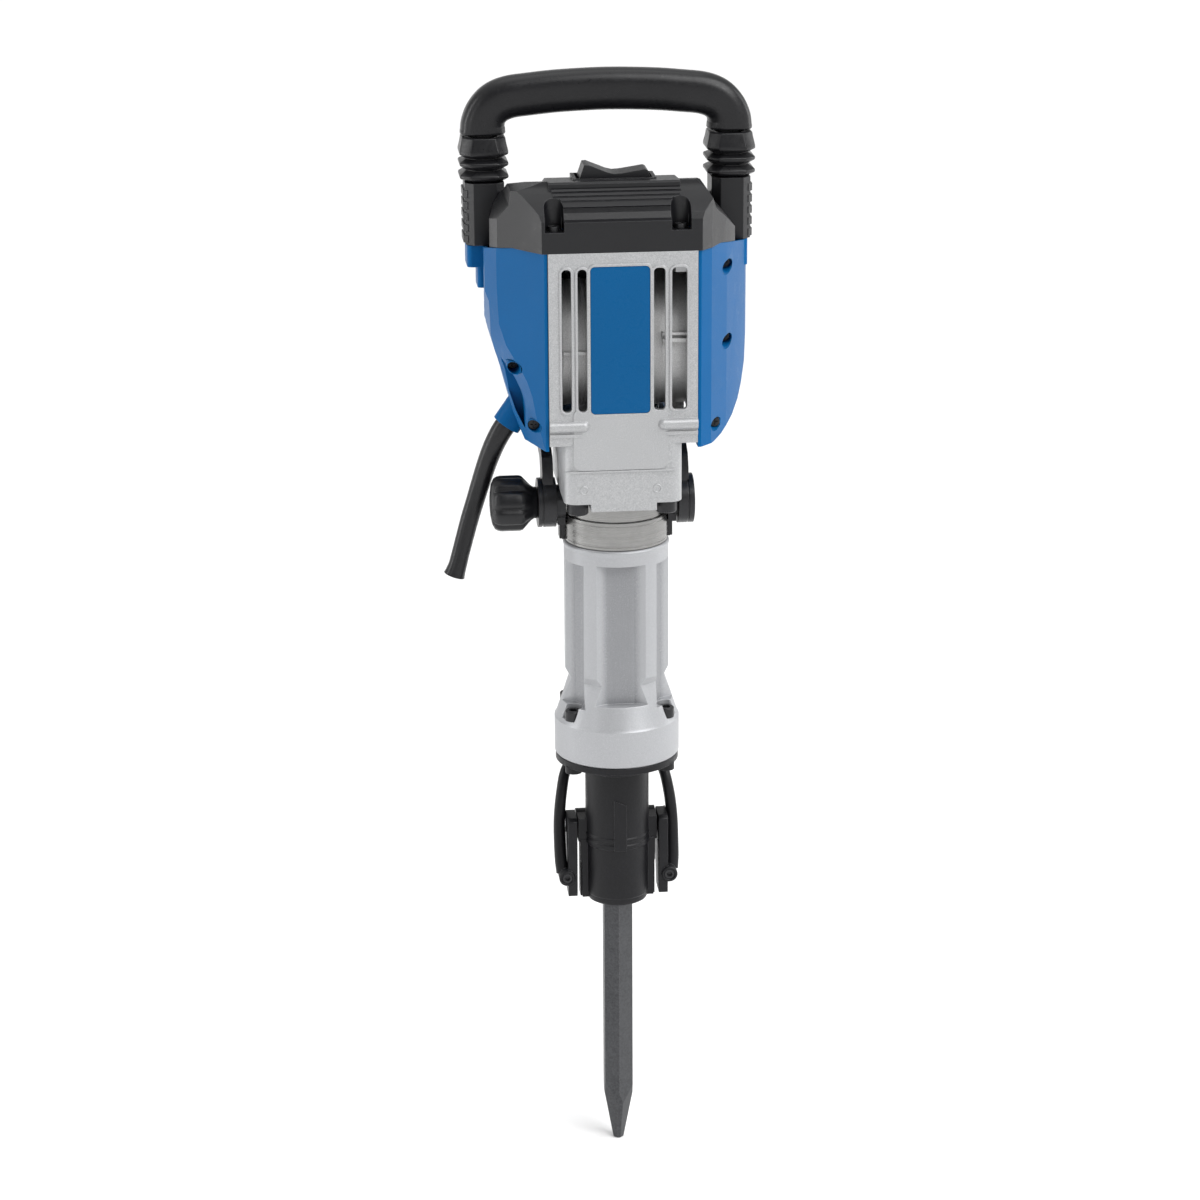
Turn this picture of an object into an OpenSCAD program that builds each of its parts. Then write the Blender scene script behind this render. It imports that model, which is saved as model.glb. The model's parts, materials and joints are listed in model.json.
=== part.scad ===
// Electric demolition hammer with crank-driven air-spring hammer mechanism.
// Origin: centre of the tool socket mouth on the hammer axis. +Z up, front face towards -Y.

/* [Overall] */
// Smoothness of round surfaces
round_fn = 64; // [48:8:96]

/* [Nose and tool] */
// Across-flats size of the hexagonal tool shank
hex_af = 28.6; // [28.4:0.1:28.8]
// Length of chisel standing out below the nose
chisel_out = 268; // [200:1:320]
// Outer radius of the cast nose
nose_r = 31.8; // [31:0.1:33]
// Height of the retainer cross shaft above the socket mouth
pivot_z = 75; // [70:1:80]

/* [Barrel] */
// Radius of the fluted barrel
barrel_r = 51.2; // [50:0.1:52]
// Top of the barrel casting
barrel_top = 377.6; // [370:0.1:385]
// Radius of the turned steel collar
collar_r = 50.1; // [48:0.1:51]

/* [Housing] */
// Half width of the front gear housing
house_hw = 70.5; // [68:0.5:74]
// Front plane of the gear housing, distance ahead of the hammer axis
house_front = 75; // [72:0.5:78]
// Underside of the wide part of the housing
house_z0 = 491; // [488:1:494]
// Height of the seam below the black cap
seam_z = 676; // [674:1:680]
// Half width of the blue side shells at their widest
shell_hw = 129; // [126:1:130]

/* [Handle] */
// Height of the grip bar centre line at the middle
grip_z = 806; // [800:1:812]
// Half distance between the two handle legs
leg_x = 119.5; // [116:0.5:121]
// Distance of the handle plane behind the hammer axis
leg_y = 73; // [68:1:76]

/* [Mechanism] */
// Height of the crank axis
crank_z = 575; // [573:1:577]
// Crank throw
throw_r = 18; // [15:1:18]
// Motor axis behind the hammer axis
motor_y = 102; // [101:0.5:102]
// Motor axis height
motor_z = 600; // [598:1:600]

/* [Auxiliary handle] */
// Height of the auxiliary handle pivot
aux_z = 415.7; // [414:0.1:417]

/* [Hidden] */
$fn = round_fn;
e = 0.01;
// second reduction stage: module 2, 14 and 50 teeth
m2 = 2; z2p = 14; z2g = 50;
// first reduction stage: module 1.5, 16 and 40 teeth
m1 = 1.5; z1p = 16; z1g = 40;
a1 = m1*(z1p+z1g)/2;
a2 = m2*(z2p+z2g)/2;
mdy = motor_y; mdz = motor_z-crank_z;
md = sqrt(mdy*mdy+mdz*mdz);
mal = (a2*a2-a1*a1+md*md)/(2*md);
mpe = sqrt(a2*a2-mal*mal);
lay_y = (mal*mdy-mpe*mdz)/md;
lay_z = crank_z+(mal*mdz+mpe*mdy)/md;
ang_cl = atan2(lay_z-crank_z, lay_y);
ang_ml = atan2(lay_z-motor_z, lay_y-motor_y);
wrist_z = crank_z-throw_r-85;
hex_r = hex_af/2/cos(30);
flange_bolt_xy = [[46,28],[46,-28],[-46,28],[-46,-28]];
house_bolt_xy = [[42.5,54],[42.5,-58],[-42.5,54],[-42.5,-58]];
leg_r = 11;

module bx(a, b) translate(a) cube([b[0]-a[0], b[1]-a[1], b[2]-a[2]]);
module zc(r, z0, z1, x=0, y=0) translate([x,y,z0]) cylinder(r=r, h=z1-z0);
module xc(r, x0, x1, y=0, z=0) translate([x0,y,z]) rotate([0,90,0]) cylinder(r=r, h=x1-x0);
module yc(r, y0, y1, x=0, z=0) translate([x,y0,z]) rotate([-90,0,0]) cylinder(r=r, h=y1-y0);
// plane (Y,Z) outline extruded along X
module yz(x0, x1) translate([x0,0,0]) rotate([90,0,90]) linear_extrude(x1-x0) children();
// plane (X,Z) outline extruded along Y
module xz(y0, y1) translate([0,y1,0]) rotate([90,0,0]) linear_extrude(y1-y0) children();
module rrect(w, h, r) {
  square([w-2*r,h], center=true);
  square([w,h-2*r], center=true);
  for (i=[-1,1], j=[-1,1]) translate([i*(w/2-r),j*(h/2-r)]) circle(r);
}
function mir(p) = concat(p, [for (i=[len(p)-1:-1:0]) [-p[i][0], p[i][1]]]);
// closed skin over equal-length rings; loop = true joins the last ring to the first
module skin(rings, loop=false) {
  n = len(rings[0]); m = len(rings);
  pts = [for (r=rings, p=r) p];
  side = [for (i=[0:(loop ? m-1 : m-2)], j=[0:n-1])
    let (a=i*n+j, b=i*n+(j+1)%n, i2=((i+1)%m)*n) [a, b, i2+(j+1)%n, i2+j]];
  caps = loop ? [] : [[for (j=[n-1:-1:0]) j], [for (j=[0:n-1]) (m-1)*n+j]];
  polyhedron(points=pts, faces=[for (f=concat(side,caps)) [for (k=[len(f)-1:-1:0]) f[k]]], convexity=6);
}
function unit(v) = v/norm(v);
// smooth curve through hand-placed points
function crom(p, k) = [for (i=[0:len(p)-2], j=[0:k-1]) let (t=j/k, a=p[max(0,i-1)], b=p[i], c=p[i+1], d=p[min(len(p)-1,i+2)])
  0.5*(2*b+(c-a)*t+(2*a-5*b+4*c-d)*t*t+(3*b-a-3*c+d)*t*t*t)];
function path(p, k) = concat(crom(p,k), [p[len(p)-1]]);
function tang(c) = [for (i=[0:len(c)-1]) unit(c[min(len(c)-1,i+1)]-c[max(0,i-1)])];
// section axes carried along the curve without twist
function axes(d, u0) = [for (i=0, u=unit(u0-(u0*d[0])*d[0]); i<len(d); i=i+1, u = i<len(d) ? unit(u-(u*d[i])*d[i]) : u) u];
// rings of a swept rounded section, half sizes given per ring
function rings(c, u0, ra, rb, n, ex=1) = let (d=tang(c), u=axes(d,u0))
  [for (i=[0:len(c)-1]) let (v=cross(d[i],u[i])) [for (k=[0:n-1]) let (q=(k+0.5)*360/n, cq=cos(q), sq=sin(q))
    c[i]+u[i]*ra[i]*sign(cq)*pow(abs(cq),ex)+v*rb[i]*sign(sq)*pow(abs(sq),ex)]];
// spur gear outline from involute flanks
function inv(a) = tan(a)*180/PI-a;
function flank(m, z, r, bl) = let (rp=m*z/2, rb=rp*cos(22)) 90/z - bl/rp*28.65 + inv(22) - inv(r<=rb ? 0 : acos(rb/r));
module gear2d(m, z, rot, bore) {
  rp = m*z/2; rt = rp+0.88*m; rr = rp-1.15*m; rb = rp*cos(22);
  rs = max(rb, rr);
  difference() {
    polygon([for (k=[0:z-1], q=concat(
        [[rr, -flank(m,z,rs,0.12)-0.2]], [for (i=[0:3]) let (r=rs+(rt-rs)*i/3) [r, -flank(m,z,r,0.12)]],
        [for (i=[3:-1:0]) let (r=rs+(rt-rs)*i/3) [r, flank(m,z,r,0.12)]], [[rr, flank(m,z,rs,0.12)+0.2]]))
        let (c=rot+k*360/z) [q[0]*cos(c+q[1]), q[0]*sin(c+q[1])]]);
    if (bore > 0) circle(bore);
  }
}
module bearing(ri, ro, x0, x1, y, z) difference() {
  xc(ro, x0, x1, y, z);
  xc(ri, x0-1, x1+1, y, z);
  difference() { xc(ro-0.28*(ro-ri), x0-1, x0+0.6, y, z); xc(ri+0.28*(ro-ri), x0-2, x0+1, y, z); }
  difference() { xc(ro-0.28*(ro-ri), x1-0.6, x1+1, y, z); xc(ri+0.28*(ro-ri), x1-1, x1+2, y, z); }
}

// ---------------- nose, tool and retainer ----------------
module hexbar(af, z0, z1) translate([0,0,z0]) rotate(30) cylinder(r=af/2/cos(30), h=z1-z0, $fn=6);

module front_cover() color([0.10,0.10,0.11]) difference() {
  union() {
    rotate_extrude() polygon([[0,0],[27.6,0],[29.6,1.2],[30.6,3.4],[30.6,7.2],[31.2,8.2],[31.2,60],[32.6,61.5],[32.6,65],
      [31.8,66.2],[31.8,69],[32.6,70],[32.6,72],[31.8,73.2],[31.8,146],[34,149.5],[37,151.4],[61,151.4],[61,157.6],[0,157.6]]);
    // front rib
    translate([-6.2,-nose_r-1.2,0]) bx([0,0,60],[12.4,8,100]);
    translate([0,-nose_r+1.4,100]) rotate([90,0,0]) linear_extrude(2.6) polygon([[-6.2,-1],[6.2,-1],[6.2,8],[-6.2,14]]);
    // shaft bosses
    for (s=[-1,1]) {
      xc(12.5, s<0?-40:20, s<0?-20:40, 20, pivot_z);
      bx([s<0?-39.6:22,-6,62],[s<0?-22:39.6,22,86]);
      // side ribs down to the mouth
      difference() {
        bx([s<0?-37.6:26,-7,2.5],[s<0?-26:37.6,12,64]);
        bx([s<0?-45:36,-8,-1],[s<0?-36:45,-3,40]);
      }
    }
    // bosses under the flange for the bolts
    for (p=flange_bolt_xy) zc(8.2, 145.2, 152, p[0], p[1]);
    zc(34.6, 140, 151.6);
  }
  hexbar(hex_af+0.7, -1, 160);
  zc(24, 150.2, 160);
  xc(7.55, -60, 60, 20, pivot_z);
  for (p=flange_bolt_xy) zc(4.95, 140, 170, p[0], p[1]);
}
module nose_gasket() color([0.2,0.2,0.2]) difference() {
  zc(60.8, 157.6, 158.4);
  zc(24, 150, 170);
  for (p=flange_bolt_xy) zc(5.5, 150, 170, p[0], p[1]);
}
module chisel() color([0.27,0.28,0.30]) difference() {
  intersection() {
    hexbar(hex_af, -chisel_out, 148);
    translate([0,0,-chisel_out]) yz(-40, 40) polygon([[-6,0],[6,0],[20,70],[20,500],[-20,500],[-20,70]]);
    translate([0,0,-chisel_out]) xz(-40, 40) polygon([[-5.2,0],[5.2,0],[17,66],[17,500],[-17,500],[-17,66]]);
    translate([0,0,-chisel_out]) rotate(45) yz(-40, 40) polygon([[-5.2,0],[5.2,0],[19,78],[19,500],[-19,500],[-19,78]]);
    translate([0,0,-chisel_out]) rotate(-45) yz(-40, 40) polygon([[-5.2,0],[5.2,0],[19,84],[19,500],[-19,500],[-19,84]]);
    rotate_extrude() polygon([[0,-chisel_out],[7.5,-chisel_out],[40,-chisel_out+90],[40,147],[15.4,147.1],[13.9,148],[0,148]]);
  }
  // rear locking notch
  bx([-20,12.2,52],[20,20,83]);
}
module retainer_shaft() color([0.33,0.34,0.36]) difference() {
  xc(7.5, -50.5, 50.5, 20, pivot_z);
  bx([-19,10,pivot_z-10],[19,30,pivot_z-2.6]);
}
// forged lever: two cheeks on the cross shaft, screw bosses and a U bar that closes behind the nose
bail_half = [[55.5,0,27],[56.8,4,40],[57.2,9,56],[57.2,13,74],[56,16,92],[53.4,20,110],[50,26,124],[44,34,132],[34,41,136],[18,45,137.5],[0,46,138]];
bail_path = concat(bail_half, [for (i=[9:-1:0]) [-bail_half[i][0], bail_half[i][1], bail_half[i][2]]]);
module retainer_lever() color([0.09,0.09,0.10]) difference() {
  union() {
    for (s=[-1,1]) {
      yz(s<0?-50.4:41, s<0?-41:50.4) {
        translate([20,pivot_z]) circle(12.5);
        polygon([[-10,84],[-6,87],[20,87.5],[32.4,pivot_z],[25,44],[14,6],[-10,4],[-12,50]]);
      }
      yc(8.3, -14, 11, s*51.6, 25.5);
    }
    let (c=path(bail_path,3), n=len(c))
      skin(rings(c, [1,0,0], [for (i=[0:n-1]) let (t=abs(2*i/(n-1)-1)) 4.8+1.5*t], [for (i=[0:n-1]) 6.6-0.8*sin(i*180/(n-1))], 12));
  }
  for (s=[-1,1]) {
    xc(7.52, s<0?-60:30, s<0?-30:60, 20, pivot_z);
    yc(5.1, -15, -8.4, s*51.6, 25.5);
    yc(3.02, -20, 9, s*51.6, 25.5);
  }
}
module retainer_screws() color([0.05,0.05,0.06]) for (s=[-1,1]) difference() {
  union() { yc(5, -13.2, -8.4, s*51.6, 25.5); yc(3, -9, 8.4, s*51.6, 25.5); }
  translate([s*51.6,-14,25.5]) rotate([-90,0,0]) cylinder(r=2.9, h=4, $fn=6);
}

// ---------------- barrel ----------------
module flute(a, ho, hf, zf, zt, rf) rotate(a) intersection() {
  translate([0,0,zf]) difference() {
    linear_extrude(zt-zf) polygon([[rf,-hf],[barrel_r*cos(ho),-barrel_r*sin(ho)],[70,-70],[70,70],[barrel_r*cos(ho),barrel_r*sin(ho)],[rf,hf]]);
    translate([0,0,zt-zf]) rotate([0,-62,0]) translate([-1,-60,-60]) bx([0,0,60],[90,120,120]);
  }
  zc(80, zf-1, zt);
}
module barrel() color([0.74,0.76,0.79]) difference() {
  rotate_extrude() polygon([[34.3,158.4],[60.4,158.4],[61.8,159.8],[61.8,195.5],[60.2,198],[47,238],[51.2,246],[51.2,372],[52,374.5],[52,376],[50.6,barrel_top],[34.3,barrel_top]]);
  for (a=[-90,90]) flute(a, 28, 13.4, 219, 362, 40.6);
  for (a=[-27,27,153,207]) flute(a, 19, 7.6, 214, 360, 43);
  for (p=flange_bolt_xy) {
    zc(5.4, 150, 210, p[0], p[1]);
    zc(9.6, 200, 246, p[0], p[1]);
    bx([p[0]<0?-80:p[0]-9.6*0.2, p[1]-8.6, 200],[p[0]<0?p[0]+9.6*0.2:80, p[1]+8.6, 246]);
  }
}
module flange_bolts() color([0.07,0.07,0.08]) for (p=flange_bolt_xy) translate([p[0],p[1],0]) difference() {
  union() { zc(4.9, 145.2, 201); zc(8, 200, 209.4); translate([0,0,209.4]) cylinder(r1=8, r2=7.2, h=0.8); }
  translate([0,0,204.6]) cylinder(r=4.6, h=9, $fn=6);
}
module steel_collar() color([0.60,0.60,0.58]) difference() {
  rotate_extrude() polygon([[34.3,barrel_top],[49.2,barrel_top],[collar_r,barrel_top+0.9],[collar_r,405.2],[49.3,406],[48,406.4],[48,424.6],[34.3,424.6]]);
}

// ---------------- hammer mechanism ----------------
module cylinder_liner() color([0.62,0.62,0.64]) difference() {
  union() { zc(34.2, 196, 500); zc(36.5, 424.8, 428.6); }
  zc(29, 180, 520);
  for (a=[0:60:300]) rotate(a) xc(2, 20, 40, 0, 402);
}
module anvil_guide() color([0.60,0.52,0.30]) difference() {
  zc(34.2, 158.5, 195.4);
  zc(18.06, 150, 200);
}
module damper_ring() color([0.08,0.08,0.08]) difference() {
  zc(28.7, 196.4, 206.8);
  zc(19.5, 190, 240);
}
module impact_bolt() color([0.55,0.56,0.58]) difference() {
  rotate_extrude() polygon([[0,164],[16,164],[18,166],[18,206],[28.6,217],[28.6,244],[22,252],[14,300],[12.5,301],[0,301]]);
  difference() { zc(40, 229, 234); zc(26.6, 228, 236); }
}
module striker() color([0.50,0.51,0.53]) difference() {
  rotate_extrude() polygon([[0,317],[20,317],[24,319],[28.95,324],[28.95,386],[27.5,387.5],[18,387.5],[18,372],[0,372]]);
  for (z=[334,374]) difference() { zc(40, z, z+4.4); zc(26.4, z-1, z+6); }
}
module piston() color([0.72,0.73,0.75]) difference() {
  rotate_extrude() polygon([[0,455],[27.8,455],[28.95,456.2],[28.95,487],[22,487],[22,460.5],[0,460.5]]);
  difference() { zc(40, 459, 463.4); zc(26.4, 458, 464.4); }
  xc(6.02, -40, 40, 0, wrist_z);
}
module wrist_pin() color([0.66,0.66,0.68]) difference() {
  xc(6, -27.6, 27.6, 0, wrist_z);
  xc(3, -30, 30, 0, wrist_z);
}
module connecting_rod() color([0.45,0.46,0.48]) difference() {
  union() {
    xc(11, -8, 8, 0, wrist_z);
    xc(17, -8, 8, 0, crank_z-throw_r);
    yz(-4.5, 4.5) polygon([[-10,wrist_z],[10,wrist_z],[14,crank_z-throw_r],[-14,crank_z-throw_r]]);
  }
  xc(6.05, -20, 20, 0, wrist_z);
  xc(11, -20, 20, 0, crank_z-throw_r);
  for (s=[-1,1]) yz(s<0?-5:3, s<0?-3:5) polygon([[-4,wrist_z+14],[4,wrist_z+14],[6,crank_z-throw_r-21],[-6,crank_z-throw_r-21]]);
}
module crankshaft() color([0.48,0.49,0.51]) {
  difference() {
    union() {
      yz(9, 24) { translate([0,crank_z]) circle(22); difference() { translate([0,crank_z]) circle(45); polygon([[-60,crank_z+4],[60,crank_z+4],[60,crank_z-70],[-60,crank_z-70]]); }
        translate([0,crank_z-throw_r]) circle(15); }
      xc(12, 24, 66, 0, crank_z);
    }
    for (s=[-1,1]) xc(6, 8, 26, s*24, crank_z+24);
  }
  xc(9, 8.5, 12, 0, crank_z-throw_r);
}
module crank_gear() color([0.40,0.40,0.42]) difference() {
  yz(49, 60) translate([0,crank_z]) gear2d(m2, z2g, ang_cl, 12);
  for (s=[0,1]) difference() { xc(41, s?57:48, s?61:52, 0, crank_z); xc(21, 40, 70, 0, crank_z); }
  for (a=[0:60:300]) translate([0, 31*cos(a), crank_z+31*sin(a)]) xc(5.5, 45, 65);
}
module layshaft() color([0.50,0.50,0.52]) {
  xc(6.96, 30.5, 69.5, lay_y, lay_z);
  yz(48.6, 60.6) translate([lay_y,lay_z]) gear2d(m2, z2p, ang_cl+180+180/z2p, 0);
}
module layshaft_gear() color([0.42,0.42,0.44]) difference() {
  yz(38.6, 47.4) translate([lay_y,lay_z]) gear2d(m1, z1g, ang_ml+180+180/z1g+0, 7);
  difference() { xc(24, 45.6, 50, lay_y, lay_z); xc(12, 40, 60, lay_y, lay_z); }
  for (a=[0:72:288]) translate([0, lay_y+18*cos(a), lay_z+18*sin(a)]) xc(3.6, 30, 60);
}
module armature_shaft() color([0.64,0.64,0.66]) {
  xc(6, -92.1, 39, motor_y, motor_z);
  yz(38.4, 48.4) translate([motor_y,motor_z]) gear2d(m1, z1p, ang_ml, 0);
}
module armature_core() color([0.45,0.33,0.22]) difference() {
  union() {
    yz(-42, 8) difference() { translate([motor_y,motor_z]) circle(24.4);
      for (a=[0:30:330]) translate([motor_y,motor_z]) rotate(a) translate([20,-0.9]) square([6,1.8]); }
    xc(20.5, -52, 16, motor_y, motor_z);
  }
  xc(6, -60, 20, motor_y, motor_z);
}
module commutator() color([0.72,0.45,0.25]) difference() {
  yz(-74, -55) difference() { translate([motor_y,motor_z]) circle(15);
    for (a=[0:15:345]) translate([motor_y,motor_z]) rotate(a) translate([12.5,-0.35]) square([4,0.7]); }
  xc(6, -80, -50, motor_y, motor_z);
}
module cooling_fan() color([0.15,0.15,0.16]) difference() {
  union() {
    xc(11, 17.5, 26.5, motor_y, motor_z);
    xc(37, 24.8, 26.5, motor_y, motor_z);
    for (a=[0:30:330]) translate([0,motor_y,motor_z]) rotate([a,0,0]) bx([18,-1,9],[25,1,36]);
  }
  xc(6, 10, 30, motor_y, motor_z);
}
module stator_core() color([0.36,0.37,0.39]) yz(-42, 8) difference() {
  translate([motor_y,motor_z]) rrect(81, 84, 14);
  translate([motor_y,motor_z]) { circle(25);
    for (s=[-1,1]) { translate([0,s*29]) rrect(40, 15, 3); } }
}
module field_coils() color([0.62,0.30,0.16]) for (s=[-1,1]) difference() {
  union() {
    yz(-50, 16) translate([motor_y,motor_z+s*31]) rrect(38, 8.4, 3);
  }
  yz(-43, 9) translate([motor_y,motor_z+s*31]) square([26,12], center=true);
}
module motor_bracket() color([0.16,0.16,0.17]) difference() {
  union() {
    xc(16, -95, -80, motor_y, motor_z);
    yz(-84, -79) translate([motor_y,motor_z]) rrect(82, 82, 12);
    yz(-79, -42) difference() { translate([motor_y,motor_z]) rrect(82, 82, 12); translate([motor_y,motor_z]) rrect(75, 74, 9); }
  }
  xc(11, -92.4, -78, motor_y, motor_z);
  for (s=[-1,1]) translate([0,0,0]) yc(8.2, s<0?50:120, s<0?84:160, -64.5, motor_z);
  for (s=[-1,1]) bx([-85,motor_y-22,motor_z+s*30-5],[-78,motor_y+22,motor_z+s*30+5]);
}
module brush_holders() color([0.70,0.56,0.26]) for (s=[-1,1]) {
  y0 = s<0 ? motor_y-43 : motor_y+19; y1 = s<0 ? motor_y-19 : motor_y+43;
  difference() {
    yc(8, y0, y1, -64.5, motor_z);
    bx([-68.1, s<0?y0+3:y0-1, motor_z-3.6],[-60.9, s<0?y1+1:y1-3, motor_z+3.6]);
  }
}
module brush(y0, y1) color([0.12,0.12,0.12]) difference() {
  bx([-67.9, y0, motor_z-3.4],[-61.1, y1, motor_z+3.4]);
  xc(15.06, -90, -40, motor_y, motor_z);
}
module carbon_brush_front() brush(motor_y-33, motor_y-13);
module carbon_brush_rear() brush(motor_y+13, motor_y+33);

module ball_bearings() color([0.78,0.78,0.80]) {
  bearing(6, 11, -92.2, -84.2, motor_y, motor_z); bearing(6, 13, 29, 36.8, motor_y, motor_z);
  bearing(12, 22, 27.5, 37, 0, crank_z); bearing(12, 18, 61.2, 65.8, 0, crank_z);
  bearing(7, 12, 30.4, 37.6, lay_y, lay_z); bearing(7, 12, 62.4, 69.4, lay_y, lay_z);
}

// ---------------- castings inside ----------------
module crankcase() color([0.66,0.68,0.71]) difference() {
  union() {
    xc(60, -56, 27, 0, crank_z);
    xc(60.6, -56, -50, 0, crank_z);
    xc(60.6, 21, 27, 0, crank_z);
    for (x=[-34,-12,10]) xc(61.6, x-1.6, x+1.6, 0, crank_z);
    zc(42, 428.8, 540);
    bx([-56,-66,577],[27,-50,580]);
    translate([0,-1.5,437.4]) linear_extrude(26.6) rrect(103,126,8);
  }
  xc(54, -60, 30, 0, crank_z);
  zc(34.25, 420, 560);
  zc(37, 420, 428.9);
  bx([27,-60,512.4],[60,60,600]);
  for (p=house_bolt_xy) zc(5.9, 430, 462, p[0], p[1]);
}
module crankcase_cover() color([0.66,0.68,0.71]) difference() {
  union() { xc(60.5, -61, -56, 0, crank_z); xc(53.9, -56, -52, 0, crank_z); xc(20, -64, -56, 0, crank_z); }
  for (a=[0:45:315]) translate([0, 47*cos(a), crank_z+47*sin(a)]) xc(4.5, -66, -59.5);
}
module gear_plate() color([0.68,0.70,0.72]) difference() {
  yz(27.2, 37.9) {
    translate([0,crank_z]) circle(62);
    translate([motor_y-4,motor_z]) rrect(86, 92, 12);
    polygon([[0,crank_z-62],[70,crank_z-22],[60,motor_z+46],[0,crank_z+62]]);
  }
  xc(22, 20, 50, 0, crank_z);
  xc(13, 20, 50, motor_y, motor_z);
  xc(12, 20, 50, lay_y, lay_z);
  zc(30, 490, 530);
}
module gear_cover() color([0.64,0.66,0.69]) difference() {
  union() {
    yz(38, 72.4) intersection() {
      union() {
        translate([0,crank_z]) circle(61);
        translate([motor_y-10,motor_z]) rrect(66, 84, 12);
        polygon([[0,crank_z-61],[70,crank_z-20],[60,motor_z+42],[0,crank_z+61]]);
        translate([lay_y,lay_z]) circle(38);
      }
      translate([-15.4,450]) square([200,300]);
    }
    yz(38, 65.4) intersection() { translate([0,crank_z]) circle(61); translate([-70,450]) square([60,300]); }
    bx([38,-66,587],[65.4,-55,590.5]);
    bx([38,-64.5,593.5],[65.4,-56,596]);
  }
  yz(30, 61.1) {
    translate([0,crank_z]) circle(56.5);
    translate([motor_y-10,motor_z]) rrect(58, 76, 9);
    polygon([[10,crank_z-52],[66,crank_z-14],[56,motor_z+37],[10,crank_z+52]]);
    translate([lay_y,lay_z]) circle(34.4);
  }
  xc(18, 50, 66, 0, crank_z);
  xc(12, 50, 69.6, lay_y, lay_z);
}

// ---------------- gear housing ----------------
slots = [[-58.2,-49.2],[-43.2,-34.4],[28.6,39.6],[45.8,60.2]];
module vslot(x0, x1, z0, z1, g) { r=(x1-x0)/2+g; translate([(x0+x1)/2,(z0+z1)/2]) rrect(x1-x0+2*g, z1-z0+2*g, min(r*0.98,4+g)); }
module front_housing() color([0.76,0.78,0.80]) difference() {
  union() {
    // wide upper part
    bx([-house_hw,-house_front,house_z0],[house_hw,-16,seam_z]);
    // narrow lower box with rounded upright corners
    translate([0,0,433]) linear_extrude(64) translate([0,-3.5]) rrect(113, 143, 12);
    translate([0,0,425.5]) linear_extrude(12) translate([0,-3.5]) intersection() { rrect(113,143,12); square([63,160],center=true); }
    // slot rims
    for (s=slots) xz(-house_front-1.1, -house_front+2) vslot(s[0], s[1], 524, 661, 2.2);
    // badge rim
    xz(-house_front-1.2, -house_front+2) translate([-3,592.3]) rrect(61, 146, 6);
    // lower corner rib bosses
    for (s=[-1,1]) {
      xc(5.4, s<0?-house_hw:38, s<0?-38:house_hw, -house_front+0.2, 510);
      translate([s*38,-house_front+0.2,510]) sphere(5.4);
      bx([s<0?-house_hw:40,-house_front-1.6,499.5],[s<0?-40:house_hw,-house_front+2,503]);
    }
    // raised lower panel
    xz(-house_front-1.0, -house_front+2) translate([-3,497]) rrect(90, 61, 8);
    xz(-house_front-1.6, -house_front+2) bx2(-56,49,464.4,466);
    for (x=[-38,32]) yc(4.2, -house_front-0.7, -house_front+2, x, 447);
  }
  // cavities
  difference() {
    bx([-house_hw+4,-house_front+4.4,house_z0+4],[house_hw-4,0,seam_z+1]);
    for (x=[-64,55]) { zc(6.5, 655, seam_z+2, x, -64); bx([x<0?x-6:x-5,-72,655],[x<0?x+5:x+5,-64,seam_z+2]); }
    bx([54,-70,655],[70,-60,seam_z+2]);
  }
  for (x=[-64,55]) zc(3.02, 650, seam_z+2, x, -64);
  translate([0,0,437]) linear_extrude(80) intersection() { translate([0,-3.5]) rrect(105, 136.4, 8.5); translate([-60,-70.6]) square([120,200]); }
  zc(48.6, 420, 440);
  for (p=house_bolt_xy) zc(6.4, 425, 440, p[0], p[1]);
  for (s=slots) xz(-house_front-4, -house_front+6) vslot(s[0], s[1], 524, 661, 0);
  xz(-house_front-4, -house_front+0.2) translate([-3,592.3]) rrect(56.6, 141.8, 4.4);
  for (x=[-38,32]) yc(3.1, -house_front-2, -house_front-0.1, x, 447);
}
module bx2(x0,x1,z0,z1) translate([x0,z0]) square([x1-x0,z1-z0]);
module badge_plate() color([0.05,0.36,0.62]) xz(-house_front-0.8, -house_front+0.2) translate([-3,592.3]) rrect(56.2, 141.4, 4.2);
module housing_bolts() color([0.07,0.07,0.08]) for (p=house_bolt_xy) translate([p[0],p[1],0]) difference() {
  union() { zc(5.85, 430, 458); zc(10, 420.6, 433); translate([0,0,419.6]) cylinder(r1=9, r2=10, h=1); }
  translate([0,0,415]) cylinder(r=5.6, h=11, $fn=6);
}

// ---------------- blue shells ----------------
left_plan = [[house_hw+0.3,-73],[73.8,-73],[85.5,-58],[114.7,-22],[124,8],[122.8,40],[120.5,70],[118,112],[100,142],[58,158],[0,162]];
left_plan_in = [[house_hw+0.3,-69],[72.2,-69],[82.2,-55],[111.1,-19.8],[119.8,9],[118.7,39.6],[116.5,69.6],[114.2,110.6],[97.6,138.6],[57.2,154],[0,158]];
left_out = [[-1,485.9],[90,486],[99,508],[103,525],[109.8,550],[114.6,564],[119.3,583],[121,617],[126,630],[126,700],[-1,700]];
left_out_in = [[-1,489.9],[87.4,490],[95.2,509.2],[99.2,526.4],[106,551.4],[110.7,565],[115.4,584],[117,618],[122,631],[122,700],[-1,700]];
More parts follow.
